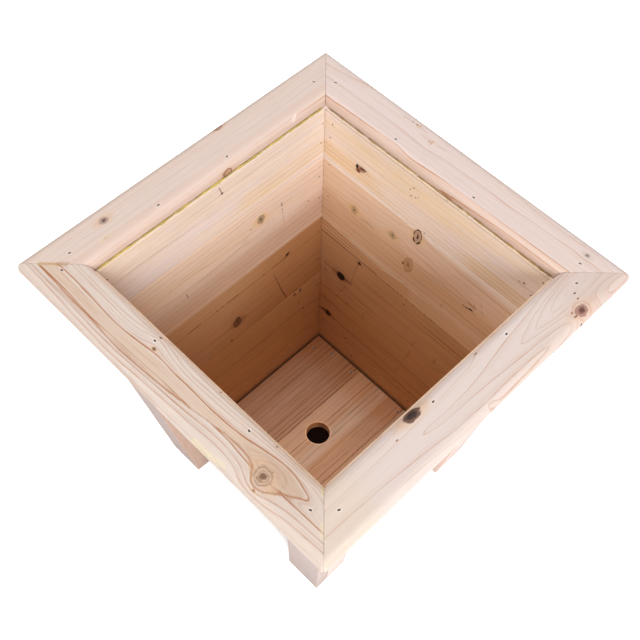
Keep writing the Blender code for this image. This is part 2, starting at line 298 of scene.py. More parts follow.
# =====================================================================================
# 3. Nodes: a short way to write shader maths
# =====================================================================================
class Nodes:
    def __init__(self, tree):
        self.tree = tree
        self.count = 0

    def add(self, kind, **settings):
        node = self.tree.nodes.new(kind)
        for key, value in settings.items():
            setattr(node, key, value)
        node.location = (200 * (self.count % 24), -180 * (self.count // 24))
        self.count += 1
        return node

    def put(self, socket, value):
        """Links the value to the socket, or sets it there."""
        if isinstance(value, Value):
            value = value.socket
        if isinstance(value, bpy.types.NodeSocket):
            self.tree.links.new(value, socket)
        else:
            if socket.type == "RGBA" and len(value) == 3:
                value = (*value, 1.0)
            socket.default_value = value

    def math(self, operation, *values, clamp=False):
        node = self.add("ShaderNodeMath", operation=operation, use_clamp=clamp)
        for socket, value in zip(node.inputs, values):
            self.put(socket, value)
        return Value(self, node.outputs[0])

    def vec(self, x=0.0, y=0.0, z=0.0):
        node = self.add("ShaderNodeCombineXYZ")
        for socket, value in zip(node.inputs, (x, y, z)):
            self.put(socket, value)
        return node.outputs[0]

    def split(self, vector):
        node = self.add("ShaderNodeSeparateXYZ")
        self.put(node.inputs[0], vector)
        return [Value(self, out) for out in node.outputs]

    def attr(self, name, output="Fac"):
        node = self.add("ShaderNodeAttribute", attribute_name=name)
        return Value(self, node.outputs[output])

    def noise(self, vector, scale=1.0, detail=2.0, rough=0.5):
        node = self.add("ShaderNodeTexNoise")
        self.put(node.inputs["Vector"], vector)
        node.inputs["Scale"].default_value = scale
        node.inputs["Detail"].default_value = detail
        node.inputs["Roughness"].default_value = rough
        return Value(self, node.outputs["Fac"])

    def random(self, value, seed):
        node = self.add("ShaderNodeTexWhiteNoise", noise_dimensions="2D")
        self.put(node.inputs["Vector"], self.vec(value, seed))
        return Value(self, node.outputs["Value"])

    def step(self, start, stop, x, low=0.0, high=1.0):
        """A smooth step from low at start to high at stop."""
        node = self.add("ShaderNodeMapRange", interpolation_type="SMOOTHSTEP")
        self.put(node.inputs["Value"], x)
        limits = {"From Min": start, "From Max": stop, "To Min": low, "To Max": high}
        for name, value in limits.items():
            self.put(node.inputs[name], value)
        return Value(self, node.outputs["Result"])

    def mix(self, amount, under, over, blend="MIX"):
        node = self.add("ShaderNodeMix", data_type="RGBA", blend_type=blend)
        self.put(node.inputs[0], amount)
        self.put(node.inputs[6], under)
        self.put(node.inputs[7], over)
        return node.outputs[2]

    def scale_colour(self, colour, factor):
        """Colour times a number."""
        grey = self.add("ShaderNodeCombineColor")
        for socket in grey.inputs:
            self.put(socket, factor)
        return self.mix(1.0, colour, grey.outputs[0], "MULTIPLY")

    def group(self, tree, **values):
        node = self.add("ShaderNodeGroup")
        node.node_tree = tree
        for key, value in values.items():
            self.put(node.inputs[key], value)
        return node

    def surface(self, shader, height, strength, distance):
        """Ends a material: bump on the shader (distance in mm), then the output."""
        bump = self.add("ShaderNodeBump")
        bump.inputs["Strength"].default_value = strength
        bump.inputs["Distance"].default_value = distance * MM
        self.put(bump.inputs["Height"], height)
        self.put(shader.inputs["Normal"], bump.outputs[0])
        end = self.add("ShaderNodeOutputMaterial")
        self.put(end.inputs["Surface"], shader.outputs[0])


class Value:
    """A socket that can be added and multiplied."""

    def __init__(self, net, socket):
        self.net, self.socket = net, socket

    def __add__(self, other):
        return self.net.math("ADD", self, other)

    __radd__ = __add__

    def __mul__(self, other):
        return self.net.math("MULTIPLY", self, other)

    __rmul__ = __mul__

    def __sub__(self, other):
        return self.net.math("SUBTRACT", self, other)

    def __rsub__(self, other):
        return self.net.math("SUBTRACT", other, self)

    def __truediv__(self, other):
        return self.net.math("DIVIDE", self, other)


def lin(*rgb):
    """sRGB 0-255 to the linear colour a shader takes."""
    def one(c):
        c = c / 255.0
        return c / 12.92 if c <= 0.04045 else ((c + 0.055) / 1.055) ** 2.4

    return tuple(one(c) for c in rgb)


def new_group(name, inputs, outputs):
    """A node group. An input's default says its kind: number, colour, or None for a vector."""
    tree = bpy.data.node_groups.new(name, "ShaderNodeTree")
    for label, default in inputs.items():
        kind = "Color"
        if default is None:
            kind = "Vector"
        elif isinstance(default, float):
            kind = "Float"
        socket = tree.interface.new_socket(label, in_out="INPUT", socket_type=f"NodeSocket{kind}")
        if default is not None:
            socket.default_value = default
    for label, kind in outputs.items():
        tree.interface.new_socket(label, in_out="OUTPUT", socket_type=f"NodeSocket{kind}")
    net = Nodes(tree)
    start = net.add("NodeGroupInput")
    end = net.add("NodeGroupOutput")
    given = {label: Value(net, start.outputs[label]) for label in inputs}
    return tree, net, given, end.inputs


def new_material(name):
    mat = bpy.data.materials.new(name)
    mat.use_nodes = True
    mat.node_tree.nodes.clear()
    return mat, Nodes(mat.node_tree)


# =====================================================================================
# 4. Node groups: knot, stroke and fir
# =====================================================================================
def make_knot_group():
    """One knot over the colour that comes in: halo, body with rings, core, checks, bark line."""
    tree, net, given, result = new_group(
        "Knot",
        {
            "Color": (0.8, 0.7, 0.6, 1), "P": None, "U": 0.0, "V": 0.0, "A": 5.0, "B": 5.0,
            "Lean": 0.0, "Seed": 0.0, "Body": (0.2, 0.1, 0.06, 1), "Core": (0.02, 0.012, 0.01, 1),
            "Bark": (0.03, 0.015, 0.01, 1), "Halo": (0.5, 0.3, 0.14, 1), "Body amount": 1.0,
            "Core size": 0.5, "Bark amount": 0.6, "Halo amount": 0.5, "Halo size": 1.9,
        },
        {"Color": "Color"},
    )
    seed, core_ink, body_amount = given["Seed"], given["Core"], given["Body amount"]
    u, v, w = net.split(given["P"])
    du, dv = u - given["U"], v - given["V"]
    cos, sin = net.math("COSINE", given["Lean"]), net.math("SINE", given["Lean"])
    # the knot's own plane, its rim at radius 1
    x = (du * cos + dv * sin) / given["A"]
    y = (dv * cos - du * sin) / given["B"]
    rough = net.noise(net.vec(x + seed, y - seed, w * 0.05), scale=1.6, detail=3.0, rough=0.6)
    wobble = net.noise(net.vec(x * 0.9 + seed * 3.1, y * 0.9, 0.0), detail=1.0)
    radius = net.math("SQRT", x * x + y * y) * (1.0 + (wobble - 0.5) * 0.55) + (rough - 0.5) * 0.24
    # stretched pointed halo: fibres bend round the knot
    long_x = x * 0.55
    far = net.math("SQRT", long_x * long_x + y * y) + (rough - 0.5) * 0.5
    halo = net.step(given["Halo size"], 0.75, far) * given["Halo amount"]
    body = net.step(1.08, 0.9, radius) * body_amount
    rings = net.math("SINE", radius * 17.0 + rough * 7.0)
    core = net.step(
        given["Core size"] + 0.22, given["Core size"] - 0.20, radius + (rough - 0.5) * 0.5
    )
    # checks: fine cracks out from the core
    angle = net.math("ARCTAN2", y, x)
    checks = (
        net.step(0.86, 0.97, net.math("SINE", angle * 2.0 + seed * 2.0 + rough * 11.0))
        * net.step(0.95, 0.5, radius)
        * net.step(0.08, 0.25, radius)
    )
    off_rim = net.math("ABSOLUTE", radius - 1.0)
    bark = (
        net.step(0.22, 0.02, off_rim)
        * net.step(0.28, 0.55, net.noise(net.vec(x + seed, y, 0.7), scale=1.3, rough=0.6))
        * given["Bark amount"]
    )
    colour = net.mix(halo, given["Color"], given["Halo"])
    body_ink = net.mix(net.step(-0.2, 0.9, rings) * 0.45, given["Body"], core_ink)
    colour = net.mix(body, colour, body_ink)
    colour = net.mix(core * body_amount, colour, core_ink)
    colour = net.mix(checks * body_amount * 0.45, colour, core_ink)
    colour = net.mix(net.math("MINIMUM", bark, 1.0), colour, given["Bark"])
    net.put(result["Color"], colour)
    return tree


def make_stroke_group():
    """A scratch, dash or dark mark straight from A to B, over the colour that comes in."""
    tree, net, given, result = new_group(
        "Stroke",
        {
            "Color": (0.8, 0.7, 0.6, 1), "P": None, "Au": 0.0, "Av": 0.0, "Bu": 1.0, "Bv": 0.0,
            "Width": 0.6, "Soft": 0.4, "Amount": 0.8, "Ragged": 0.5, "Ink": (0.05, 0.03, 0.02, 1),
        },
        {"Color": "Color"},
    )
    width = given["Width"]
    u, v, w = net.split(given["P"])
    run_u, run_v = given["Bu"] - given["Au"], given["Bv"] - given["Av"]
    from_u, from_v = u - given["Au"], v - given["Av"]
    share = net.math(
        "DIVIDE", from_u * run_u + from_v * run_v, run_u * run_u + run_v * run_v, clamp=True
    )
    off_u, off_v = from_u - share * run_u, from_v - share * run_v
    grit = net.noise(net.vec(u * 0.6, v * 0.6, w * 0.2), detail=3.0, rough=0.65)
    away = net.math("SQRT", off_u * off_u + off_v * off_v)
    away = away + (grit - 0.5) * width * given["Ragged"] * 2.0
    mask = net.step(width + given["Soft"], width * 0.55, away) * given["Amount"]
    mask = mask * net.step(-9.5, -8.5, w)        # only near the shown face
    net.put(result["Color"], net.mix(mask, given["Color"], given["Ink"]))
    return tree


def strong_rings(net, given, u, ring, gap, strength):
    """The line at each whole number of the field, and the shade that leads up to it."""
    level = net.math("ROUND", ring)
    past = (ring - level) * gap                  # millimetres past the line
    own = net.random(level, seed=3.0)
    along = net.noise(net.vec(u * 0.016, level * 3.7, given["Seed"]), rough=0.6)
    wide = (0.55 + own * 0.5 + (along - 0.5) * 0.9) * given["Ring width"]
    sharp = net.step(wide * 0.75, wide * 0.15, past)
    soft = net.step(wide * -2.1, wide * -0.15, past)
    # the wood darkens slowly towards its latewood
    ramp = net.step(-9.0, -0.5, past) * net.step(0.4, 0.0, past)
    power = strength * (0.72 + (along - 0.5) * 1.5)
    line = net.math("MINIMUM", sharp * soft * power * given["Rings"], 1.0)
    shade = ramp * power * given["Rings"] * 0.22
    return line, shade


def fine_rings(net, given, u, ring, gap, fray):
    """Fine rings between the strong ones."""
    place = (ring + (fray - 0.5) * 0.25 / gap) * given["Fine count"]
    level = net.math("FLOOR", place)
    past = place - level
    own = net.random(level, seed=7.0)
    along = net.noise(net.vec(u * 0.022, level * 2.3, given["Seed"] + 4.0), rough=0.6)
    shape = net.step(0.25, 0.78, past) * net.step(1.0, 0.86, past)
    return shape * net.step(0.15, 1.0, own) * net.step(0.30, 0.72, along) * given["Fine"]


def end_grain(net, given, u, v, w, drift, colour):
    """Where a face cuts across the grain: darker, with rings round the pith."""
    geometry = net.add("ShaderNodeNewGeometry")
    turned = net.add(
        "ShaderNodeVectorTransform", vector_type="NORMAL", convert_from="WORLD",
        convert_to="OBJECT",
    )
    net.put(turned.inputs[0], geometry.outputs["True Normal"])
    dot = net.add("ShaderNodeVectorMath", operation="DOT_PRODUCT")
    net.put(dot.inputs[0], turned.outputs[0])
    net.put(dot.inputs[1], given["Grain axis"])
    end = net.step(0.62, 0.80, net.math("ABSOLUTE", Value(net, dot.outputs["Value"])))
    pith_v, pith_w = v - given["Pith v"], w - given["Pith w"]
    radius = net.math("SQRT", pith_v * pith_v + pith_w * pith_w) / 3.1 + (drift - 0.5) * 0.4
    past = radius - net.math("FLOOR", radius)
    arcs = net.step(0.45, 0.88, past) * net.step(1.0, 0.93, past)
    pits = net.noise(net.vec(v * 3.5, w * 3.5, u * 3.5), rough=0.6)
    end_colour = net.mix(arcs * 0.55 + 0.12, given["Early"], given["Late"])
    end_colour = net.scale_colour(end_colour, 1.0 - given["End dark"] * 0.9 + (pits - 0.5) * 0.30)
    return end, pits, net.mix(end, colour, end_colour)


def make_fir_group():
    """Bare planed fir. Rings come from the board's ring field; the rest is noise."""
    tree, net, given, result = new_group(
        "Fir",
        {
            "Early": (0.8, 0.7, 0.6, 1), "Late": (0.5, 0.3, 0.2, 1), "Warm": (0.8, 0.6, 0.4, 1),
            "Cool": (0.7, 0.68, 0.66, 1), "Seed": 0.0, "Rings": 0.6, "Ring width": 1.0,
            "Fine count": 3.0, "Fine": 0.25, "Fibre": 0.10, "Broad": 0.35, "Saw": 0.15,
            "End dark": 0.35, "Pith v": 0.0, "Pith w": -40.0, "Edge": 0.25, "Grain axis": None,
        },
        {"Color": "Color", "Bump": "Float", "P": "Vector", "Rough": "Float", "Ring": "Float"},
    )
    seed, broad = given["Seed"], given["Broad"]
    place = net.attr("uvw", "Vector")
    u, v, w = net.split(place)
    ring, gap, strength, edge = (net.attr(name) for name in ("ring", "gap", "amp", "edge"))
    seeded_v, seeded_w = v + seed * 13.7, w + seed * 5.3

    def grain_noise(along, across, deep, **settings):
        where = net.vec(u * along, seeded_v * across, seeded_w * deep)
        return net.noise(where, **settings)

    # rings wander a little from their smooth course
    drift = grain_noise(0.030, 0.22, 0.22, detail=3.0, rough=0.55)
    fray = grain_noise(0.25, 1.3, 1.3, rough=0.6)
    ring = ring + ((drift - 0.5) * 1.6 + (fray - 0.5) * 0.35) / gap
    line, shade = strong_rings(net, given, u, ring, gap, strength)
    fine = fine_rings(net, given, u, ring, gap, fray)
    # fibres and pores
    coarse = grain_noise(0.022, 0.95, 0.95, detail=4.0, rough=0.66)
    hair = grain_noise(0.30, 3.2, 3.2, detail=3.0, rough=0.65)
    pore = net.step(0.66, 0.80, grain_noise(0.22, 5.0, 5.0, detail=1.0))
    fibre = (coarse - 0.5) * 1.9 + (hair - 0.5) * 1.1
    # broad tone
    warmth = grain_noise(0.0045, 0.045, 0.03)
    where = net.vec(u * 0.010 + 9.0, seeded_v * 0.16, seeded_w * 0.10)
    patches = net.noise(where, detail=3.0, rough=0.6)
    colour = net.mix(net.step(0.42, 0.72, warmth) * broad, given["Early"], given["Warm"])
    colour = net.mix(net.step(0.50, 0.74, patches) * broad, colour, given["Cool"])
    colour = net.mix(net.math("MINIMUM", line + shade + fine, 1.0), colour, given["Late"])
    light = 1.0 + fibre * given["Fibre"] - pore * 0.07 + (patches - 0.5) * 0.07 * broad
    colour = net.scale_colour(colour, light)
    # saw and planer marks lie across the grain
    phase = u * 2.1 + net.noise(net.vec(u * 0.09, seeded_v * 0.12, 0.0)) * 14.0
    chatter = net.math("SINE", phase) * net.step(0.42, 0.68, patches)
    colour = net.scale_colour(colour, 1.0 + chatter * 0.035 * given["Saw"])
    end, pits, colour = end_grain(net, given, u, v, w, drift, colour)
    # worn arrises are a little paler, with grime in patches
    rub = grain_noise(0.09, 0.3, 0.3, detail=3.0, rough=0.6)
    pale = edge * net.step(0.40, 0.62, rub) * given["Edge"]
    colour = net.mix(pale, colour, net.scale_colour(given["Early"], 1.10))
    grime = edge * net.step(0.58, 0.75, 1.0 - rub) * given["Edge"] * 0.6
    colour = net.mix(grime, colour, net.scale_colour(given["Late"], 0.8))
    net.put(result["Color"], colour)
    bump = line * 0.10 + fine * 0.05 + fibre * 0.09 - pore * 0.08
    bump = bump + chatter * 0.05 * given["Saw"] + end * (pits - 0.5) * 0.3
    net.put(result["Bump"], bump)
    net.put(result["P"], place)
    net.put(result["Rough"], 0.66 + (coarse - 0.5) * 0.16 - line * 0.10 + end * 0.12)
    net.put(result["Ring"], ring)
    return tree


KNOT, STROKE, FIR = make_knot_group(), make_stroke_group(), make_fir_group()

# sRGB: early wood, late wood, warm tone, cool tone
PALETTES = {
    "rim": ((243, 227, 215), (208, 156, 116), (241, 219, 198), (232, 220, 213)),
    "rim_front": ((241, 220, 203), (196, 136, 98), (236, 206, 176), (240, 226, 216)),
    "wall": ((238, 210, 184), (188, 136, 96), (238, 204, 160), (226, 206, 192)),
    # darker wood, darkened further by painted shade of the lower inner walls
    "dark_wood_and_shade": ((214, 166, 122), (150, 96, 56), (219, 168, 112), (206, 166, 132)),
    "leg": ((240, 222, 208), (204, 160, 124), (238, 212, 186), (228, 216, 210)),
    "floor": ((222, 184, 150), (150, 100, 66), (222, 178, 134), (214, 184, 160)),
    "floor_left": ((206, 164, 132), (134, 88, 60), (206, 158, 118), (196, 162, 140)),
    "cleat": ((226, 196, 164), (170, 120, 82), (226, 188, 146), (216, 196, 176)),
}

# What each board's palette is multiplied by (linear red, green, blue)
BOARD_TINTS = {
    "left_rim_board": (0.779, 0.734, 0.737),
    "back_rim_board": (0.804, 0.766, 0.799),
    "right_rim_board": (0.765, 0.748, 0.780),
    "front_rim_board": (0.783, 0.810, 0.854),
    "left_wall_board_5": (0.935, 1.047, 1.292),
    "back_wall_board_5": (1.03, 1.14, 1.36),
    "left_wall_board_4": (0.936, 0.960, 1.050),
    "back_wall_board_4": (0.959, 0.930, 0.910),
    "left_wall_board_3": (0.850, 0.812, 0.780),
    "back_wall_board_3": (0.92, 0.93, 0.95),
    "left_wall_board_2": (0.957, 0.972, 0.918),
    "back_wall_board_2": (0.936, 0.933, 0.918),
    "floor_board_left": (1.060, 1.039, 1.028),
    "floor_board_middle": (1.102, 1.111, 1.151),
    "floor_board_right": (0.976, 0.925, 0.912),
    # painted shade: the front legs' faces are darker for the shade they stand in
    "front_left_leg_face_board": (0.58, 0.55, 0.60),
    "front_right_leg_face_board": (0.65, 0.635, 0.69),
    "back_left_leg_face_board": (0.80, 0.80, 0.87),
    "back_right_leg_face_board": (0.80, 0.80, 0.87),
}
LEG_SIDE_TINT = (0.92, 0.90, 0.97)


def tinted(palette, node):
    plain = LEG_SIDE_TINT if node.endswith("_leg_side_board") else (1.0, 1.0, 1.0)
    tint = BOARD_TINTS.get(node, plain)
    return tuple(
        tuple(min(0.97, c * k) for c, k in zip(lin(*rgb), tint)) for rgb in PALETTES[palette]
    )


def wall_outside(palette, seed):
    """What brings a wall board's colour to its pale outer side, without the inner painted shade."""
    turn = seed * 1.7
    shade = (0.80, 0.79 + 0.02 * math.sin(turn * 2.1), 0.82 + 0.05 * math.sin(turn * 2.1))
    pale = [c * k * (1.0 + 0.07 * math.sin(turn)) for c, k in zip(lin(236, 208, 182), shade)]
    return tuple(c / early for c, early in zip(pale, palette[0]))


def banded(net, colour, place, bands):
    """Bands of tone. Each band's attribute holds millimetres inside the band's edge."""
    grit = net.noise(place, scale=0.22, detail=3.0, rough=0.6)
    stretched = net.add("ShaderNodeVectorMath", operation="MULTIPLY")
    net.put(stretched.inputs[0], place)
    stretched.inputs[1].default_value = (0.04, 0.9, 0.9)
    streak = net.noise(stretched.outputs[0], detail=3.0, rough=0.6)
    for name, _, tint, amount, softness, streaky in bands:
        inside = net.attr(name) + (streak - 0.5) * streaky * 6.0 + (grit - 0.5) * 0.6
        mask = (
            net.step(-softness, softness, inside)
            * (1.0 - streaky * 0.9 * net.step(0.42, 0.62, streak))
            * amount
        )
        colour = net.mix(mask, colour, net.mix(1.0, colour, tint, "MULTIPLY"))
    return colour


def board_material(node, look, axis, knot_layers, stroke_layers):
    """The material of one board. Each face carries the knots and strokes nearest to it."""
    mat, net = new_material(f"fir_{node}")
    palette = tinted(look["palette"], node)
    early, late, warm, cool = palette
    fir = net.group(FIR, Early=early, Late=late, Warm=warm, Cool=cool, Seed=float(look["seed"]))
    fir.inputs["Grain axis"].default_value = tuple(axis)
    fir.inputs["Pith v"].default_value, fir.inputs["Pith w"].default_value = look["pith"]
    for key, value in look["figure"].items():
        fir.inputs[key.replace("_", " ").capitalize()].default_value = value
    colour, place = fir.outputs["Color"], fir.outputs["P"]
    if look["bands"]:
        colour = banded(net, colour, place, look["bands"])
    if "_wall_board_" in node:
        outside = net.step(-5.0, -9.0, net.split(place)[2])
        colour = net.mix(outside, colour, wall_outside(palette, look["seed"]), "MULTIPLY")
    for layer in range(knot_layers):
        a, b, c, d = (net.split(net.attr(f"knot{layer}{part}", "Vector")) for part in "abcd")
        inks = {
            key: net.attr(f"knot{layer}_{key.lower()}", "Color")
            for key in ("Body", "Core", "Bark", "Halo")
        }
        mark = net.group(
            KNOT, Color=colour, P=place, U=a[0], V=a[1], Lean=a[2], A=b[0], B=b[1], Seed=b[2],
            **inks,
        )
        amounts = {
            "Body amount": c[0], "Core size": c[1], "Bark amount": c[2],
            "Halo amount": d[0], "Halo size": d[1],
        }
        for key, value in amounts.items():
            net.put(mark.inputs[key], value)
        colour = mark.outputs["Color"]
    for layer in range(stroke_layers):
        a, b, c = (net.split(net.attr(f"stroke{layer}{part}", "Vector")) for part in "abc")
        ink = net.attr(f"stroke{layer}_ink", "Color")
        mark = net.group(
            STROKE, Color=colour, P=place, Au=a[0], Av=a[1], Bu=a[2], Bv=b[0], Width=b[1],
            Soft=b[2], Amount=c[0], Ragged=c[1], Ink=ink,
        )
        colour = mark.outputs["Color"]
    shader = net.add("ShaderNodeBsdfPrincipled")
    net.put(shader.inputs["Base Color"], colour)
    net.put(shader.inputs["Roughness"], fir.outputs["Rough"])
    shader.inputs["Specular IOR Level"].default_value = 0.28
    net.surface(shader, fir.outputs["Bump"], strength=0.55, distance=0.5)
    return mat


# =====================================================================================
# 5. Board meshes
# =====================================================================================
def link_mesh(name, bm):
    """Makes a scene object of the bmesh."""
    mesh = bpy.data.meshes.new(name)
    bm.to_mesh(mesh)
    bm.free()
    obj = bpy.data.objects.new(name, mesh)
    bpy.context.scene.collection.objects.link(obj)
    return obj


def skin(bm, rows):
    """Quads between closed rows of vertices."""
    for row, after in zip(rows, rows[1:]):
        for i in range(len(row)):
            k = (i + 1) % len(row)
            bm.faces.new((row[i], row[k], after[k], after[i]))


def shade_smooth(mesh, sharp_angle):
    mesh.polygons.foreach_set("use_smooth", [True] * len(mesh.polygons))
    mesh.set_sharp_from_angle(angle=math.radians(sharp_angle))


def arc(cx, cy, radius, start, stop, steps):
    t = np.radians(np.linspace(start, stop, steps + 1))
    return np.column_stack([cx + radius * np.cos(t), cy + radius * np.sin(t)])


def board_section(v0, v1, w0, w1, step, radii=(0.5, 0.5, 0.5, 0.5)):
    """A closed clockwise loop (v, w) round a board's section.

    The radii are those of the corners: low-v top, high-v top, high-v bottom, low-v bottom.
    Returns the points, their outward normals and how much of an edge each is.
    """
    r0, r1, r2, r3 = radii
    centres = ((v0 + r0, w1 - r0), (v1 - r1, w1 - r1), (v1 - r2, w0 + r2), (v0 + r3, w0 + r3))
    starts = (180, 90, 0, -90)
    corners = [
        arc(*centre, radius, start, start - 90, 8 if radius > 3 else 3)
        for centre, radius, start in zip(centres, radii, starts)
    ]
    points, edge = [], []
    for i, corner in enumerate(corners):
        for j, point in enumerate(corner):
            points.append(point)
            if radii[i] >= 3:
                edge.append(0.30)
            else:
                edge.append(1.0 if 0 < j < len(corner) - 1 else 0.75)
        start, stop = corner[-1], corners[(i + 1) % 4][0]
        count = max(1, int(round(np.linalg.norm(stop - start) / step)))
        for t in np.arange(1, count) / count:
            points.append(start + (stop - start) * t)
            edge.append(0.0)
    points = np.array(points)
    tangent = np.roll(points, -1, 0) - np.roll(points, 1, 0)
    normal = np.column_stack([-tangent[:, 1], tangent[:, 0]])
    normal /= np.linalg.norm(normal, axis=1)[:, None] + 1e-12
    return points, normal, np.array(edge)


class Board:
    """One plank in its own coordinates.

    ends(v, w) gives the plank's two ends, arris is the rounding there, wear the most an edge
    loses, corner reshapes the rows, and extra adds rows at these distances from the ends.
    """

    def __init__(self, name, section, ends, to_world, seed, step=6.0, arris=0.5, wear=0.12,
                 corner=None, extra=()):
        self.name, self.to_world = name, to_world
        points, normal, edge = section
        loop = len(points)
        u0, u1 = ends(points[:, 0], points[:, 1])
        length = float((u1 - u0).mean())
        stations = self._stations(length, step, arris, extra)
        rows, edges = [], []
        for t in stations:
            from_end = min(t, 1 - t) * length
            short = 1 - min(from_end / arris, 1)
            inset = arris * (1 - math.sqrt(max(0.0, 1 - short**2)))
            rows.append(np.column_stack([u0 + (u1 - u0) * t, points - normal * inset]))
            edges.append(np.maximum(edge, 0.8 if from_end < arris * 1.01 else 0.0))
        local = np.stack(rows)                   # stations x loop x 3
        if corner is not None:
            local = corner(local)
        edges = np.stack(edges)
        # hand-finished: faces are a little wavy and the arrises uneven
        u = local[:, :, 0]
        round_loop = np.broadcast_to(run_lengths(points), u.shape)
        shift = 0.05 * noise2(u / 55.0, round_loop / 30.0, seed)
        bite = 0.5 + 0.5 * noise2(u / 9.0, round_loop * 0.0 + seed, seed + 3)
        patches = smooth(-0.2, 0.6, noise2(u / 31.0, round_loop / 40.0, seed + 9))
        shift = shift - wear * edges * bite * patches
        local[:, :, 1:] += normal[None, :, :] * shift[:, :, None]
        self.local = local.reshape(-1, 3)
        self.edge = edges.reshape(-1)
        self.loop = loop

    @staticmethod
    def _stations(length, step, arris, extra):
        """Shares of the length at which the plank has a row of points."""
        inner = np.linspace(0, 1, max(4, int(round(length / step))) + 1)
        lead = np.array([0.0, 0.45 * arris, arris, *extra]) / length
        clear = lead.max() + 0.6 * arris / length
        inner = inner[(inner > clear) & (inner < 1 - clear)]
        return np.unique(np.concatenate([lead, inner, 1 - lead]))

    def build(self, cutter=None):
        """Makes the object, less the cutter."""
        bm = bmesh.new()
        verts = [bm.verts.new(p) for p in self.to_world(self.local) * MM]
        rows = [verts[i : i + self.loop] for i in range(0, len(verts), self.loop)]
        skin(bm, rows)
        caps = [bm.faces.new(rows[0][::-1]), bm.faces.new(rows[-1])]
        bmesh.ops.triangulate(bm, faces=caps, quad_method="BEAUTY", ngon_method="BEAUTY")
        bmesh.ops.recalc_face_normals(bm, faces=bm.faces)
        obj = link_mesh(self.name, bm)
        if cutter:
            cut_holes(obj, cutter)
        return obj

    def edge_marks(self, local):
        """Edge marks for the cut mesh, from the nearest point of the mesh before it was cut."""
        keep = np.flatnonzero(self.edge > 0)
        tree = KDTree(len(keep))
        for i in keep:
            tree.insert(self.local[i], int(i))
        tree.balance()
        out = np.zeros(len(local))
        for row, point in enumerate(local):
            _, i, distance = tree.find(point)
            if distance < 0.3:
                out[row] = self.edge[i]
        return out


def cut_holes(obj, cutter):
    """Takes the cutter's separate solids out of the object, leaving a plain mesh."""
    bmesh.ops.recalc_face_normals(cutter, faces=cutter.faces)
    tool = link_mesh(f"{obj.name}_holes", cutter)
    boolean = obj.modifiers.new("hole", "BOOLEAN")
    boolean.operation = "DIFFERENCE"
    boolean.solver = "EXACT"
    boolean.object = tool
    for careful in (False, True):
        # a board whose skin touches itself at a mitre can come out inside out; it then needs
        # the careful solve
        boolean.use_self = careful
        bpy.context.view_layer.update()
        deps = bpy.context.evaluated_depsgraph_get()
        mesh = bpy.data.meshes.new_from_object(obj.evaluated_get(deps), depsgraph=deps)
        solid = bmesh.new()
        solid.from_mesh(mesh)
        volume = solid.calc_volume(signed=True)
        solid.free()
        if volume > 0:
            break
    obj.modifiers.clear()
    uncut = obj.data
    obj.data = mesh
    mesh.name = obj.name
    bpy.data.meshes.remove(uncut)
    tool_mesh = tool.data
    bpy.data.objects.remove(tool, do_unlink=True)
    bpy.data.meshes.remove(tool_mesh)


def put(mesh, name, values, kind="FLOAT", domain="POINT"):
    attribute = mesh.attributes.get(name) or mesh.attributes.new(name, kind, domain)
    field = "vector" if kind == "FLOAT_VECTOR" else "value"
    attribute.data.foreach_set(field, np.asarray(values, np.float32).ravel())


def positions(items, field):
    """World positions, in millimetres, of a mesh's vertices or faces."""
    flat = np.empty(len(items) * 3, np.float32)
    items.foreach_get(field, flat)
    return flat.reshape(-1, 3).astype(float) * 1000.0


BAND_LIMIT = 20.0                                # band distances are held within this


def dress(board, obj, from_world, look, is_wall):
    """Gives a finished mesh its board coordinates, ring field, edge marks and bands."""
    mesh, field = obj.data, look["field"]
    local = from_world(positions(mesh.vertices, "co"))
    u, v, w = local.T
    ring = field.rings(u, v)
    reach = 0.6
    rise_u = (field.rings(u + reach, v) - ring) / reach
    rise_v = (field.rings(u, v + reach) - ring) / reach
    gap = np.clip(1.0 / np.maximum(np.sqrt(rise_u**2 + rise_v**2), 1e-4), 1.2, 45.0)
    put(mesh, "uvw", local, "FLOAT_VECTOR")
    put(mesh, "ring", ring + w * (0.03 if is_wall else 0.02))
    put(mesh, "gap", gap)
    put(mesh, "amp", field.strengths(u, v))
    put(mesh, "edge", board.edge_marks(local))
    # a wall's bands of tone are those of its inner side
    hidden = w < -7.0 if is_wall else np.zeros(len(w), bool)
    for name, inside, *_ in sorted(look["bands"], key=lambda band: band[0]):
        depth = np.clip(inside(u, v), -BAND_LIMIT, BAND_LIMIT)
        put(mesh, name, np.where(hidden, -BAND_LIMIT, depth))
    shade_smooth(mesh, sharp_angle=32)


def put_layers(mesh, kind, distance, layers, rows):
    """Writes each face's nearest marks, one set of face attributes to a layer."""
    order = np.sort(np.argsort(distance, axis=1, kind="stable")[:, :layers], axis=1)
    for layer in range(layers):
        for key, values in rows.items():
            picked = np.array(values, float)[order[:, layer]]
            put(mesh, f"{kind}{layer}{key}", picked, "FLOAT_VECTOR", "FACE")


def mark_knots(mesh, u, v, knots, seed):
    layers = min(4, len(knots))
    if not knots:
        return layers
    ku, kv, a, b = np.array([(*k["place"][:2], *k["radii"]) for k in knots], float).T
    distance = np.sqrt(
        ((u[:, None] - ku) / (a * 2 + 2)) ** 2 + ((v[:, None] - kv) / (b * 2 + 2)) ** 2
    )
    rows = {
        "a": [k["place"] for k in knots],
        "b": [(*k["radii"], (seed * 1.7 + i * 3.3) % 50) for i, k in enumerate(knots)],
        "c": [k["amounts"] for k in knots],
        "d": [k["halo"] for k in knots],
    }
    for key in ("body", "core", "bark", "halo"):
        rows[f"_{key}"] = [lin(*k["inks"][f"{key}_rgb"]) for k in knots]
    put_layers(mesh, "knot", distance, layers, rows)
    return layers


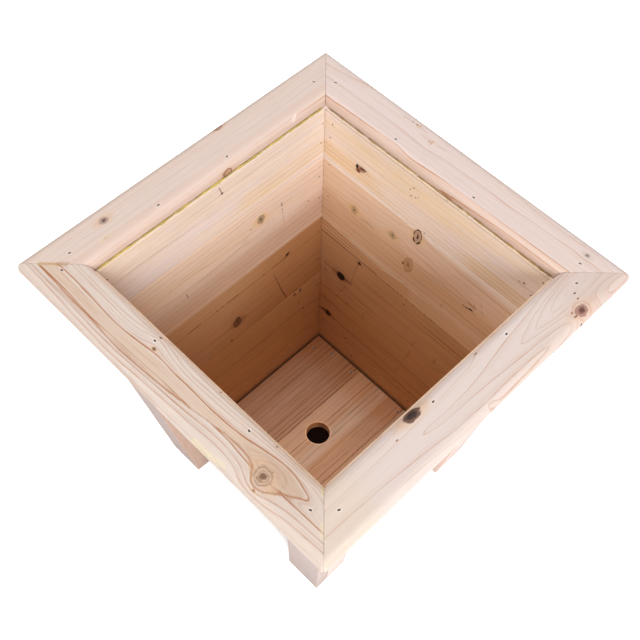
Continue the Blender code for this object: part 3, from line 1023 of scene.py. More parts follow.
def mark_strokes(mesh, u, v, strokes):
    layers = min(3, len(strokes))
    if not strokes:
        return layers
    rows = {"a": [], "b": [], "c": [], "_ink": []}

    def add(au, av, bu, bv, width, soft, amount, ink, ragged=0.5, depth=0.2):
        rows["a"].append((au, av, bu))
        rows["b"].append((bv, width, soft))
        rows["c"].append((0.85 * amount, ragged, depth))
        rows["_ink"].append(lin(*ink))

    for values in strokes:
        add(*values)
    au, av, bu, bv, width = np.array([values[:5] for values in strokes], float).T
    run_u, run_v = bu - au, bv - av
    from_u, from_v = u[:, None] - au, v[:, None] - av
    t = np.clip((from_u * run_u + from_v * run_v) / (run_u * run_u + run_v * run_v), 0, 1)
    distance = np.sqrt((from_u - t * run_u) ** 2 + (from_v - t * run_v) ** 2) - width
    put_layers(mesh, "stroke", distance, layers, rows)
    return layers


# ---- where each kind of board is: to world and back -----------------------------------
def level_frames(side, top):
    """A board lying level along a side, v outwards, its shown face at height top."""
    def to_world(p):
        return side_to_world(np.column_stack([p[:, 0], p[:, 1], p[:, 2] + top]), side)

    def from_world(p):
        q = world_to_side(p, side)
        return np.column_stack([q[:, 0], q[:, 1], q[:, 2] - top])

    return to_world, from_world


def wall_frames(side):
    """A wall board: v up the slope, w = 0 on the inner face."""
    def to_world(p):
        out = WALL_IN + SIN_LEAN * p[:, 1] - COS_LEAN * p[:, 2]
        up = COS_LEAN * p[:, 1] + SIN_LEAN * p[:, 2]
        return side_to_world(np.column_stack([p[:, 0], out, up]), side)

    def from_world(p):
        q = world_to_side(p, side)
        out, z = q[:, 1] - WALL_IN, q[:, 2]
        return np.column_stack([q[:, 0], COS_LEAN * (LEAN * out + z), COS_LEAN * (LEAN * z - out)])

    return to_world, from_world


def leg_frames(side, hand):
    """A leg board: u up, w = 0 on the outer face. Hand is -1 at the side's left end, 1 at its
    right."""
    def to_world(p):
        z, v, w = p[:, 0], p[:, 1], p[:, 2]
        along = hand * (FOOT - LEG_WIDTH + LEAN * z + v)
        return side_to_world(np.column_stack([along, FOOT + LEAN * z + w / COS_LEAN, z]), side)

    def from_world(p):
        q = world_to_side(p, side)
        z = q[:, 2]
        v = hand * q[:, 0] - (FOOT - LEG_WIDTH + LEAN * z)
        return np.column_stack([z, v, (q[:, 1] - FOOT - LEAN * z) * COS_LEAN])

    return to_world, from_world


def floor_frames(top):
    """A floor board: u along Y, v along X."""
    def to_world(p):
        return np.column_stack([p[:, 1], p[:, 0], p[:, 2] + top])

    def from_world(p):
        return np.column_stack([p[:, 1], p[:, 0], p[:, 2] - top])

    return to_world, from_world


def side_axis(side):
    """World direction that runs along a side."""
    return tuple(side_to_world(np.array([[1.0, 0.0, 0.0]]), side)[0])


# =====================================================================================
# 6. Brad holes and the drain hole
# =====================================================================================
def brad_pose(node):
    """Head centre, direction of the head's long side, direction down the shank, and length."""
    p = node_points(node)
    head = p[p[:, 2] > p[:, 2].max() - 1.4]
    foot = p[p[:, 2] < p[:, 2].min() + 1.6].mean(0)
    down = foot - head.mean(0)
    down /= np.linalg.norm(down)
    flat = head - head.mean(0)
    flat -= np.outer(flat @ down, down)
    wide = np.linalg.eigh(flat.T @ flat)[1][:, -1]
    wide /= np.linalg.norm(wide)
    centre = head.mean(0)
    centre = centre + (-down) * ((p @ -down).max() - centre @ -down)
    return centre, wide, down, (p @ down).max() - (p @ down).min()


BRADS = {name: brad_pose(name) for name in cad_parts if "_brad_" in name}
SLOT_OVER, SLOT_UNDER = 3.0, 0.4                 # the slot reaches past the head and the point
SLOT_HALF = (1.3, 0.8)


def rounded(turn, half, power):
    return math.copysign(abs(turn) ** power, turn) * half


def add_slot(bm, pose):
    """A narrow slot with rounded ends, from above the surface to just past the brad's point."""
    centre, wide, down, length = pose
    across = np.cross(down, wide)
    loop = []
    for i in range(16):
        a = 2 * math.pi * i / 16
        x = rounded(math.cos(a), SLOT_HALF[0], 0.6)
        y = rounded(math.sin(a), SLOT_HALF[1], 0.8)
        loop.append(centre + wide * x + across * y)
    top = [bm.verts.new((q - down * SLOT_OVER) * MM) for q in loop]
    low = [bm.verts.new((q + down * (length + SLOT_UNDER)) * MM) for q in loop]
    bm.faces.new(top)
    bm.faces.new(low[::-1])
    for i in range(16):
        k = (i + 1) % 16
        bm.faces.new((top[i], low[i], low[k], top[k]))


floor_lo, floor_hi = (np.array(v) * 1000.0 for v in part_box("floor_board_middle"))
FLOOR_TOP, FLOOR_THICK = floor_hi[2], floor_hi[2] - floor_lo[2]
DRAIN_SEGMENTS = 96


def add_drain(bm):
    """The drain hole, with its arris barely broken."""
    p = node_points("floor_board_middle")
    ring = p[(np.abs(p[:, 2] - FLOOR_TOP) < 0.2) & (np.hypot(p[:, 0], p[:, 1]) < 20)]
    radius = float(np.hypot(ring[:, 0], ring[:, 1]).max())
    # added radius, height over the floor's top
    profile = ((1.6, 2.0), (0.5, 0.1), (0.1, -0.35), (0.0, -0.9), (-0.05, -FLOOR_THICK - 2))
    rows = []
    for added, height in profile:
        r, z = radius + added, FLOOR_TOP + height
        row = []
        for i in range(DRAIN_SEGMENTS):
            a = 2 * math.pi * i / DRAIN_SEGMENTS
            x, y = np.array([math.cos(a) * 6]), np.array([math.sin(a) * 6 + z * 0.3])
            ragged = r + 0.10 * float(noise2(x, y, 5)[0])
            row.append(bm.verts.new((ragged * math.cos(a) * MM, ragged * math.sin(a) * MM, z * MM)))
        rows.append(row)
    bm.faces.new(rows[0])
    bm.faces.new(rows[-1][::-1])
    for above, below in zip(rows, rows[1:]):
        for i in range(DRAIN_SEGMENTS):
            k = (i + 1) % DRAIN_SEGMENTS
            bm.faces.new((above[i], below[i], below[k], above[k]))


def brad_strokes(names, from_world):
    """Crushed wood round each brad, and a dark ring of stain and painted shade round its hole."""
    out = []
    for name in names:
        centre, wide = BRADS[name][0], BRADS[name][1]
        a, b = from_world(np.array([centre, centre + wide]))
        turn = math.atan2(b[1] - a[1], b[0] - a[0])
        u, v = float(a[0]), float(a[1])
        cu, cv = math.cos(turn) * 0.7, math.sin(turn) * 0.7
        ends = (u - cu, v - cv, u + cu, v + cv)
        out.append((*ends, 1.3, 1.2, 0.45, (250, 238, 228), 0.4, 0.0))
        # a dark ring round the hole: stain, and painted shade that makes the small hole read dark
        out.append((*ends, 0.85, 0.45, 0.85, (58, 46, 42), 0.3, 0.0))
    return out


# =====================================================================================
# 7. What each board looks like
# =====================================================================================
# lines    (level, strength, points) for the ring field
# knots    made by knot() below
# strokes  (u, v, u, v, width, softness, amount, sRGB ink, raggedness, depth): a straight mark
#          between two points. Raggedness and depth may be left out.
# bands    (attribute, millimetres inside the band at u and v, linear tint, amount, softness,
#          streakiness), in the order they are laid over the wood; some are painted shade and light
# Other names are inputs of the fir group: strength, width and number of the rings, and the
# amounts of fine rings, fibre, broad tone, saw marks and edge wear.
KNOT_STYLES = {
    "dark": dict(body_rgb=(146, 110, 88), core_rgb=(74, 56, 48), bark_rgb=(88, 62, 50),
                 halo_rgb=(214, 176, 142)),
    "black": dict(body_rgb=(96, 64, 48), core_rgb=(34, 23, 20), bark_rgb=(46, 30, 24),
                  halo_rgb=(160, 114, 76)),
    "red": dict(body_rgb=(146, 90, 70), core_rgb=(82, 44, 36), bark_rgb=(96, 58, 46),
                halo_rgb=(218, 178, 144)),
    "grey": dict(body_rgb=(190, 162, 132), core_rgb=(122, 106, 88), bark_rgb=(150, 116, 86),
                 halo_rgb=(224, 184, 130)),
    "brown": dict(body_rgb=(176, 132, 98), core_rgb=(112, 78, 56), bark_rgb=(124, 88, 62),
                  halo_rgb=(218, 180, 140)),
}


def knot(u, v, half_length, half_width, style, lean=0.0, body=1.0, core=0.5, bark=0.6, halo=0.5,
         halo_size=1.9, **inks):
    """A knot at (u, v). Body, bark and halo are amounts; core is its share of the radius."""
    return dict(
        place=(u, v, lean), radii=(half_length, half_width), amounts=(body, core, bark),
        halo=(halo, halo_size, 0.0), inks={**KNOT_STYLES[style], **inks},
    )


def chain(points, *style):
    """Strokes of one style from each point to the next."""
    return [(*start, *stop, *style) for start, stop in zip(points, points[1:])]


def board_look(palette, seed, lines=(), knots=(), strokes=(), bands=(), quiet=(), field=None,
               **figure):
    return dict(
        palette=palette, seed=seed, knots=list(knots), strokes=list(strokes), bands=bands,
        pith=(0.0, -45.0), field=field or RingField(lines, quiet), figure=figure,
    )


def wall_look(palette, seed, lines, knots=(), strokes=(), quiet=(), fine_count=5.0,
              ring_width=0.85, broad=0.3, saw=0.6, **more):
    """The look of a wall board, with heights in place of v."""
    return board_look(
        palette, seed,
        lines=[(level, power, [(u, slope(z)) for u, z in run]) for level, power, run in lines],
        knots=[dict(k, place=(k["place"][0], slope(k["place"][1]), k["place"][2])) for k in knots],
        strokes=[(au, slope(az), bu, slope(bz), *style) for au, az, bu, bz, *style in strokes],
        quiet=[(u, slope(z)) for u, z in quiet],
        fine_count=fine_count, ring_width=ring_width, broad=broad, saw=saw, **more,
    )


# ---- rim boards: u from the left mitre to the right one seen from outside, v the distance
# ---- from the box's middle
FRONT_INK = (176, 132, 102)
RIM = {}
RIM["front"] = board_look(
    "rim_front", 11,
    lines=[
        (7, 0.25, [(-200, 199), (-120, 199.5), (-40, 199.5), (40, 198.5), (92, 200.5),
                   (150, 200.3), (200, 199.5)]),
        (6, 0.40, [(-190, 192.5), (-155, 194), (-105, 196), (-65, 196.6), (-5, 193.6), (30, 192),
                   (60, 190.2), (84, 191.2), (100, 196.4), (114, 198.2), (130, 197), (160, 193),
                   (195, 191)]),
        (5, 0.72, [(-188, 189.8), (-165, 190.3), (-135, 190.8), (-105, 191.8), (-65, 192.2),
                   (-35, 190.8), (-12, 189.2), (12, 188.2), (32, 186.6), (58, 184.6), (80, 185.6),
                   (94, 188.8), (104, 193.4), (114, 195.2), (124, 192.8), (142, 188.6),
                   (162, 186.8), (190, 185.6)]),
        (4, 0.95, [(-183, 185.8), (-145, 187), (-115, 187.4), (-93, 188.4), (-65, 189.4),
                   (-25, 187.2), (0, 185.2), (12, 183.8), (32, 181.2), (52, 177.8), (72, 176.4),
                   (88, 177.0), (96, 179.2), (101, 184.8), (106, 190.6), (112, 192.6),
                   (120, 190.8), (128, 184.8), (136, 177.8), (144, 172.8), (149.5, 169.6),
                   (144, 165.8), (132, 162.6), (120, 161.3), (104, 162.8), (88, 165.8),
                   (72, 168.6), (52, 170.2), (32, 170.8), (8, 170.4), (-10, 170.6), (-25, 169.8),
                   (-39, 170), (-53, 171.6), (-77, 174.2), (-93, 174.6), (-115, 173.6),
                   (-145, 172.4), (-165, 172.4), (-175, 173)]),
        (3, 0.40, [(-160, 163.4), (-125, 164.2), (-93, 165), (-73, 164.8), (-61, 162), (-51, 159),
                   (-45, 158.2), (-35, 159.6), (-25, 161.8), (-5, 164), (12, 164), (52, 162.6),
                   (92, 159.6), (132, 158.6), (156, 160.6), (170, 166), (182, 171)]),
        (2, 0.30, [(-158, 160.6), (-120, 161.6), (-85, 161.8), (-62, 159), (-46, 155.2),
                   (-33, 156.6), (-10, 160.4), (20, 160.8), (60, 159), (100, 156.4), (140, 156),
                   (160, 157.4)]),
        (1, 0.38, [(-156, 154.6), (-105, 155.2), (-81, 156.6), (-57, 155.4), (-40, 153),
                   (-10, 155.6), (40, 156.2), (90, 153.4), (156, 154)]),
        (4.5, 0.0, [(-178, 179.6), (-145, 179.8), (-93, 181.4), (-25, 178.6), (12, 177), (52, 174),
                    (74, 172.8)]),
        (4.5, 0.0, [(124, 176), (134, 170.5), (142, 168.6)]),
        (5, 0.35, [(100, 173.5), (106, 168.6), (116, 167.0), (126, 169.6), (132, 174.0)]),
        (6, 0.30, [(103, 174.6), (109, 171.6), (116, 170.8), (124, 173.6)]),
    ],
    knots=[
        knot(110.6, 180.8, 8.2, 7.4, "dark", body_rgb=(202, 170, 144), core_rgb=(124, 92, 72),
             bark_rgb=(160, 132, 112), core=0.36, bark=0.75, lean=0.3),
        knot(114.4, 194.4, 1.6, 1.1, "brown", halo=0.4, core=0.35, body=0.7),
        knot(113.8, 172.6, 1.0, 0.7, "brown", halo=0.2, body=0.6),
        knot(-42.0, 167.0, 2.2, 1.6, "brown"),
        knot(-47.0, 155.4, 1.3, 0.9, "red", halo=0.3),
        knot(99.0, 154.0, 1.0, 0.7, "brown", halo=0.2),
        knot(29.0, 153.5, 0.9, 0.7, "brown", halo=0.2),
    ],
    strokes=[
        (-184, 185, -172, 173, 0.7, 1.2, 0.65, (190, 148, 84), 1.2, -0.3),
        (-171.5, 172.5, -166, 167, 1.2, 1.8, 0.55, (172, 126, 74), 1.2, -0.3),
        *chain([(-165, 190), (-130, 188.2), (-93, 188.4), (-62, 189.3)],
               0.55, 1.2, 0.42, FRONT_INK, 0.4),
        *chain([(-62, 189.3), (-25, 187.2), (0, 185.2), (22, 182.6), (42, 179.4), (60, 177),
                (76, 176.3), (90, 177.4), (98, 180.4), (102, 185.6), (107, 190.4), (113, 192.2),
                (121, 190.2), (129, 184.2), (137, 177.4), (146, 171.6)],
               0.55, 1.2, 0.55, FRONT_INK, 0.4),
        (46, 199.0, 64, 198.6, 1.0, 1.8, 0.30, (240, 226, 160), 2.0),
        (66, 198.4, 82, 196.8, 0.8, 2.0, 0.26, (240, 226, 160), 2.0),
        (152.5, 153.5, 156, 157, 0.7, 1.2, 0.5, (232, 222, 150), 1.2, -0.3),
        (173, 174.5, 181, 182.5, 0.5, 2.2, 0.45, (232, 216, 176), 1.0, 0.0),
    ],
    bands=[
        ("band_a", lambda u, v: np.minimum(
            curve(u, [(-190, 186), (-93, 188), (-25, 187), (12, 183), (52, 177), (90, 178),
                      (104, 188), (122, 188), (136, 178), (150, 170), (200, 150)]) - v,
            v - curve(u, [(-190, 173), (-93, 175), (-53, 172), (-25, 170), (32, 171), (88, 166),
                          (120, 161), (149, 169), (200, 175)]),
        ), lin(247, 235, 222), 0.9, 2.0, 0.10),
        ("band_b", lambda u, v: 8.0 * (1 - np.hypot((u - 124) / 40.0, (v - 171.5) / 13.0)),
         (0.85, 0.80, 0.76), 1.0, 6.0, 0.1),
        # painted light: the inner roundover is lightened against its shading
        ("band_c", lambda u, v: RIM_IN + 4.5 - v, (1.20, 1.15, 1.12), 1.0, 1.6, 0.0),
    ],
    rings=1.15, ring_width=0.72, fine_count=5.0, fine=0.46, fibre=0.12, broad=0.30,
)
RIM["right"] = board_look(
    "rim", 23,
    lines=[
        (2, 0.62, [(-186, 183), (-160, 183.4), (-140, 184), (-110, 185.6), (-70, 188.6),
                   (-40, 191.4), (0, 192.9), (40, 192.6), (66, 193.2), (82, 194.6), (88, 195.0),
                   (82, 196.4), (60, 197.8), (30, 198.6), (0, 199.6)]),
        (1, 0.72, [(20, 201.6), (76, 201), (100, 200.2), (110, 198.6), (116, 195.6),
                   (114.5, 192.8), (108, 190.6), (100, 188.8), (78, 186.8), (40, 184.2),
                   (0, 181.8), (-25, 181.2), (-38, 180.6), (-49, 179.4), (-58, 177.2),
                   (-59.6, 176.0), (-58, 174.8), (-52, 173.6), (-39, 174.6), (-25, 174.6),
                   (-5, 173.8), (8, 172.8), (22, 170.8), (52, 166), (82, 162.2), (112, 158.2),
                   (124, 156)]),
        (0, 0.60, [(119.5, 201), (120.4, 194), (120, 187), (117, 185), (104, 183.6), (92, 182),
                   (78, 180), (69, 178.2), (65.4, 176.9), (69, 175.4), (78, 171.8), (92, 167.2),
                   (112, 163), (132, 160.6), (158, 158.8), (172, 160)]),
        (-1, 0.42, [(110, 181.6), (102, 180.4), (92, 178.4), (87, 176.8), (91, 174.0),
                    (99, 170.4), (112, 166.2), (130, 163), (146, 161.4)]),
        (2, 0.35, [(-170, 166.8), (-120, 166.6), (-70, 165.2), (-30, 163.8), (0, 160.8),
                   (18, 159.6), (32, 155)]),
        (3, 0.40, [(-158, 159.4), (-100, 159.2), (-60, 157.4), (-30, 154.4)]),
        (3, 0.20, [(-200, 194), (-160, 193.6), (-100, 194.4), (-60, 196.4), (-20, 198.6),
                   (0, 201)]),
        (0, 0.55, [(152.5, 201), (154.4, 194), (157.5, 189.6), (165, 187.6), (176, 187.4),
                   (186, 188.8), (196, 193)]),
        (1, 0.55, [(200, 198.6), (186, 199.2), (171, 199), (165.6, 196.8), (170, 194.4),
                   (180, 193.4), (192, 194.6)]),
    ],
    quiet=[(-100, 176), (-60, 170), (-120, 190), (140, 175), (150, 168), (30, 178), (135, 180)],
    knots=[
        knot(-53.6, 157.2, 8.6, 5.0, "dark", halo=0.65, core=0.62, bark=0.9,
             core_rgb=(60, 44, 40), body_rgb=(120, 88, 72)),
        knot(133.5, 192.2, 6.6, 5.0, "red", halo=0.35, halo_size=2.5, bark=0.7,
             body_rgb=(176, 136, 122), core_rgb=(108, 70, 62), bark_rgb=(150, 112, 98)),
        knot(124.6, 192.6, 2.4, 0.7, "red", halo=0.2),
        knot(125.6, 200.2, 1.3, 0.7, "dark", halo=0.2),
        knot(124.6, 188.0, 1.0, 0.8, "red", halo=0.2),
        knot(141.0, 182.0, 1.1, 0.7, "dark", halo=0.2),
        knot(143.4, 176.4, 1.5, 0.7, "dark", halo=0.2),
        knot(31.0, 155.0, 2.0, 0.6, "brown", halo=0.2),
        knot(-79.5, 164.4, 1.4, 0.6, "brown", halo=0.15),
        # a ring alone, round the red knot
        knot(133.5, 192.2, 9.6, 8.2, "brown", body=0.0, halo=0.0, bark=0.40,
             bark_rgb=(196, 140, 104)),
    ],
    bands=[
        ("band_a", lambda u, v: (-128 - u) * 0.25 + noise2(u / 14.0, v / 9.0, 3) * 2,
         (1.0, 0.985, 0.90), 1.0, 5.0, 0.3),
        ("band_b", lambda u, v: (u - 128) * 0.25, (0.95, 0.91, 0.89), 1.0, 4.0, 0.1),
        # painted light: the inner roundover is lightened against its shading
        ("band_c", lambda u, v: RIM_IN + 4.5 - v, (1.16, 1.13, 1.10), 1.0, 1.6, 0.0),
    ],
    rings=0.90, ring_width=0.60, fine_count=5.0, fine=0.14, fibre=0.08, broad=0.25,
)
RIM["back"] = board_look(
    "rim", 37,
    lines=[
        (5, 0.48, [(-186, 187.4), (-175, 190), (-159, 192.4), (-145, 191.6), (-125, 190.6),
                   (-85, 192), (-45, 194), (-5, 195.6), (50, 197.6), (110, 199)]),
        (4, 0.62, [(-182, 179.6), (-169, 181), (-157, 179.6), (-147, 181.4), (-135, 180.6),
                   (-119, 179.6), (-93, 178.9), (-73, 177.6), (-45, 177.8), (-9, 176.6),
                   (12, 176), (32, 173.4), (52, 174.2), (72, 175.1), (92, 174.8), (132, 174.2),
                   (172, 172.4)]),
        (3, 0.15, [(-170, 170), (-100, 169.4), (0, 168), (80, 167), (165, 166)]),
        (2, 0.15, [(-162, 164), (-100, 163.6), (0, 162.4), (80, 161.4), (160, 160.4)]),
        (1, 1.00, [(-159, 158.8), (-139, 158.4), (-105, 158.2), (-65, 157.6), (-5, 156.4),
                   (12, 155.4), (32, 154.4), (44, 154.8), (54, 156.8), (60, 156.8), (92, 155.4),
                   (152, 153.8)]),
    ],
    knots=[
        knot(-158.6, 185.2, 2.6, 2.2, "grey", halo=0.45, halo_size=2.3, halo_rgb=(196, 180, 168),
             body_rgb=(196, 178, 168), core_rgb=(128, 114, 108), bark_rgb=(170, 150, 138)),
        knot(34.0, 183.4, 0.9, 2.8, "red", halo=0.35, halo_size=2.2, core=0.3,
             body_rgb=(214, 184, 166), core_rgb=(170, 132, 114), bark_rgb=(150, 116, 100)),
        knot(37.0, 183.2, 0.6, 1.6, "brown", halo=0.1, body=0.6),
        knot(56.6, 190.6, 0.7, 2.4, "red", halo=0.35, halo_size=2.2, core=0.3,
             body_rgb=(214, 184, 166), core_rgb=(170, 132, 114), bark_rgb=(150, 116, 100)),
        knot(59.8, 190.4, 1.2, 1.1, "grey", halo=0.3, core_rgb=(112, 100, 96)),
        knot(66.0, 190.2, 0.9, 0.6, "brown", halo=0.3),
    ],
    strokes=[
        (46, 189.4, 54, 190.2, 0.35, 0.6, 0.35, (150, 104, 84)),
        (62, 190.6, 78, 189.8, 0.35, 0.8, 0.3, (150, 104, 84)),
        (39, 183.2, 48, 183.4, 0.3, 0.7, 0.3, (150, 104, 84)),
        (18, 185.6, 28, 183.9, 0.25, 0.6, 0.3, (150, 104, 84)),
    ],
    bands=[
        ("band_a", lambda u, v: curve(u, [(-170, 158.6), (-65, 157.4), (0, 156.2), (32, 154.2),
                                          (56, 156.6), (170, 153.6)]) - v,
         (1.0, 0.925, 0.84), 1.0, 0.8, 0.05),
    ],
    rings=0.95, ring_width=0.60, fine_count=6.0, fine=0.20, fibre=0.09, broad=0.35,
)
RIM["left"] = board_look(
    "rim", 41,
    lines=[
        (6, 0.20, [(-196, 197), (-100, 196.6), (-58, 197.4), (-44, 192), (-30, 197), (60, 196),
                   (190, 195)]),
        (5, 0.16, [(-190, 189), (-100, 188.6), (-44, 187.2), (20, 188.2), (90, 187),
                   (111, 189.6), (130, 186.4), (190, 186)]),
        (4, 0.18, [(-182, 181), (-100, 180.6), (0, 180), (90, 179.4), (111, 176.2), (130, 179.2),
                   (182, 178)]),
        (3, 0.22, [(-176, 174), (-100, 173), (0, 172.4), (176, 171)]),
        (2, 0.15, [(-168, 166), (0, 165.6), (166, 164.6)]),
        (1, [0.9, 0.9, 0.55, 0.25, 0.2, 0.25],
         [(-158, 153.4), (-140, 153.4), (-112, 153.8), (-60, 154.2), (20, 154), (158, 153)]),
    ],
    knots=[
        knot(-43.8, 197.6, 5.4, 4.6, "dark", halo_size=1.7, core=0.36, bark=0.9,
             body_rgb=(196, 160, 136), core_rgb=(104, 74, 60), bark_rgb=(140, 98, 76)),
        knot(111.4, 182.4, 4.8, 4.0, "dark", halo=0.55, halo_size=1.8, core=0.46, bark=0.3,
             body_rgb=(192, 164, 148), core_rgb=(100, 80, 74), bark_rgb=(150, 124, 112)),
        knot(-16.0, 149.0, 6.6, 2.7, "dark", halo=0.6, halo_size=1.6, core=0.34, body=0.9,
             bark=0.8, body_rgb=(196, 154, 124), core_rgb=(92, 58, 42), bark_rgb=(120, 78, 56)),
        knot(122.8, 164.8, 3.6, 1.5, "brown", halo=0.25, body=0.12, bark=0.0,
             halo_rgb=(222, 206, 150)),
    ],
    strokes=[
        (183.5, 184.5, 172, 173, 0.5, 0.9, 0.65, (196, 156, 90), 1.2, -0.3),
        (171, 172, 165, 166, 0.9, 1.6, 0.5, (176, 130, 76), 1.2, -0.3),
        (-113, 155.4, -107, 152.0, 0.3, 0.4, 0.7, (252, 244, 236)),
        (-109.6, 155.6, -104.6, 152.4, 0.25, 0.4, 0.5, (252, 244, 236)),
        (-66, 198.8, -20, 199.0, 0.7, 1.2, 0.35, (196, 140, 96)),
    ],
    bands=[("band_a", lambda u, v: 165.4 - v, lin(255, 250, 246), 1.0, 2.0, 0.05)],
    rings=0.75, ring_width=0.9, fine_count=5.0, fine=0.22, fibre=0.09, broad=0.40,
)

# ---- inner faces of the left and back walls: u left to right seen from outside, and height
WALLS = {}
WALLS["left_wall_board_5"] = wall_look(
    "wall", 52,
    lines=[
        (0, 0.20, [(-150, 317), (0, 318), (140, 317)]),
        (1, [0.55, 0.55, 0.2, 0.1], [(-150, 322.5), (-80, 323.5), (0, 324), (140, 323)]),
        (2, [0.65, 0.6, 0.2, 0.1], [(-150, 328), (-80, 329.5), (0, 330), (140, 329)]),
        (3, [0.60, 0.6, 0.2, 0.15], [(-150, 334), (-80, 336), (0, 337), (140, 336)]),
        (4, [0.2, 0.2, 0.3, 0.65, 0.65],
         [(-150, 341.5), (-60, 343), (20, 345), (80, 347), (145, 347)]),
        (5, [0.15, 0.2, 0.2, 0.25], [(-150, 352), (-60, 353), (20, 354.5), (145, 353.5)]),
        (6, [0.15, 0.6, 0.85, 0.6, 0.2],
         [(-150, 360), (-80, 361.4), (-20, 361), (30, 360.4), (145, 360)]),
        (7, 0.25, [(-150, 367), (0, 368), (145, 367)]),
    ],
    knots=[knot(-2.6, 360.8, 1.3, 1.0, "black", halo=0.2, core=0.6)],
    strokes=[(-2.4, 362, -0.6, 369.6, 0.5, 0.6, 0.8, (84, 60, 50))],
    bands=[
        ("band_a", lambda u, v: np.minimum(v - slope(340.5), 14) - smooth(-40, 60, u) * 3,
         (1.0, 0.97, 0.80), 0.65, 6.0, 0.8),
        ("band_b", lambda u, v: np.minimum(
            np.minimum(v - slope(320), slope(339) - v), (-20 - u) * 0.10),
         (0.97, 0.89, 0.68), 0.8, 1.6, 0.6),
    ],
    rings=0.60, fine_count=4.0, fine=0.30, fibre=0.17, broad=0.55, edge=0.03,
)
WALLS["left_wall_board_4"] = wall_look(
    "wall", 61,
    lines=[
        (1, 0.35, [(-150, 240), (0, 240.6), (130, 240.4)]),
        (2, 0.45, [(-150, 246.6), (0, 247), (130, 247)]),
        (3, 0.50, [(-150, 254), (0, 254), (130, 253.6)]),
        (4, 0.25, [(-150, 263), (-60, 263), (0, 263), (130, 263)]),
        (5, [0.2, 0.8, 0.9, 0.9, 0.9, 0.9, 0.9, 0.9],
         [(-61, 279), (-50, 275), (-35, 272.6), (-10, 275), (20, 273), (50, 271.6), (90, 273),
          (128, 277)]),
        (5, [0.2, 0.5, 0.6, 0.6, 0.6, 0.6, 0.6],
         [(-61, 279), (-50, 283), (-30, 284.4), (-15, 282.2), (20, 282.4), (60, 286),
          (130, 281.8)]),
        (4, 0.35, [(-150, 288), (-90, 289), (-62, 290), (-43, 285.6), (-20, 290), (60, 290.6),
                   (130, 289)]),
        (3, 0.45, [(-150, 295.6), (-100, 296.4), (-60, 298.6), (-43, 302), (-20, 298), (20, 296),
                   (130, 294.6)]),
        (2, 0.50, [(-150, 302.4), (-100, 304), (-60, 306.2), (-20, 304), (20, 302.6),
                   (130, 302)]),
        (1, 0.45, [(-150, 308), (-60, 311), (0, 309.4), (130, 309)]),
    ],
    knots=[
        knot(-43.0, 292.2, 4.7, 5.4, "grey", halo=0.6, halo_size=1.7, core=0.45, bark=0.7),
        knot(-28.0, 288.4, 0.9, 0.7, "brown", halo=0.3),
        knot(-110.0, 268, 1.0, 0.8, "brown", halo=0.3),
    ],
    strokes=[
        (-73.2, 293.2, -73.2, 289.4, 0.9, 0.8, 0.65, (104, 84, 76)),
        (-72.8, 285, -72.8, 283, 0.6, 0.6, 0.55, (104, 84, 76)),
        (-72.8, 280.6, -72.6, 277.6, 0.5, 0.6, 0.5, (120, 96, 84)),
        (-72.6, 275, -72.6, 265, 0.35, 0.8, 0.3, (140, 110, 92)),
        (66.0, 267, 65.4, 261.6, 0.5, 0.6, 0.7, (80, 70, 74)),
        (82.0, 263, 81.4, 261.6, 0.4, 0.5, 0.4, (120, 96, 84)),
        (82.0, 289, 82.0, 286, 0.3, 0.5, 0.4, (150, 110, 80)),
    ],
    bands=[
        # painted shade: darker down the wall, below where the light reaches
        ("band_c", lambda u, v: slope(265) - v, (0.85, 0.77, 0.70), 1.0, 14.0, 0.1),
        ("band_a", lambda u, v: slope(237) - v, (1.08, 1.12, 1.16), 1.0, 1.6, 0.1),
        ("band_b", lambda u, v: v - slope(curve(u, [(-150, 309), (-60, 312), (0, 311),
                                                    (140, 311)])),
         (1.03, 1.05, 1.08), 1.0, 1.2, 0.05),
    ],
    rings=0.62, ring_width=0.8, fine=0.26, fibre=0.15, broad=0.35,
)
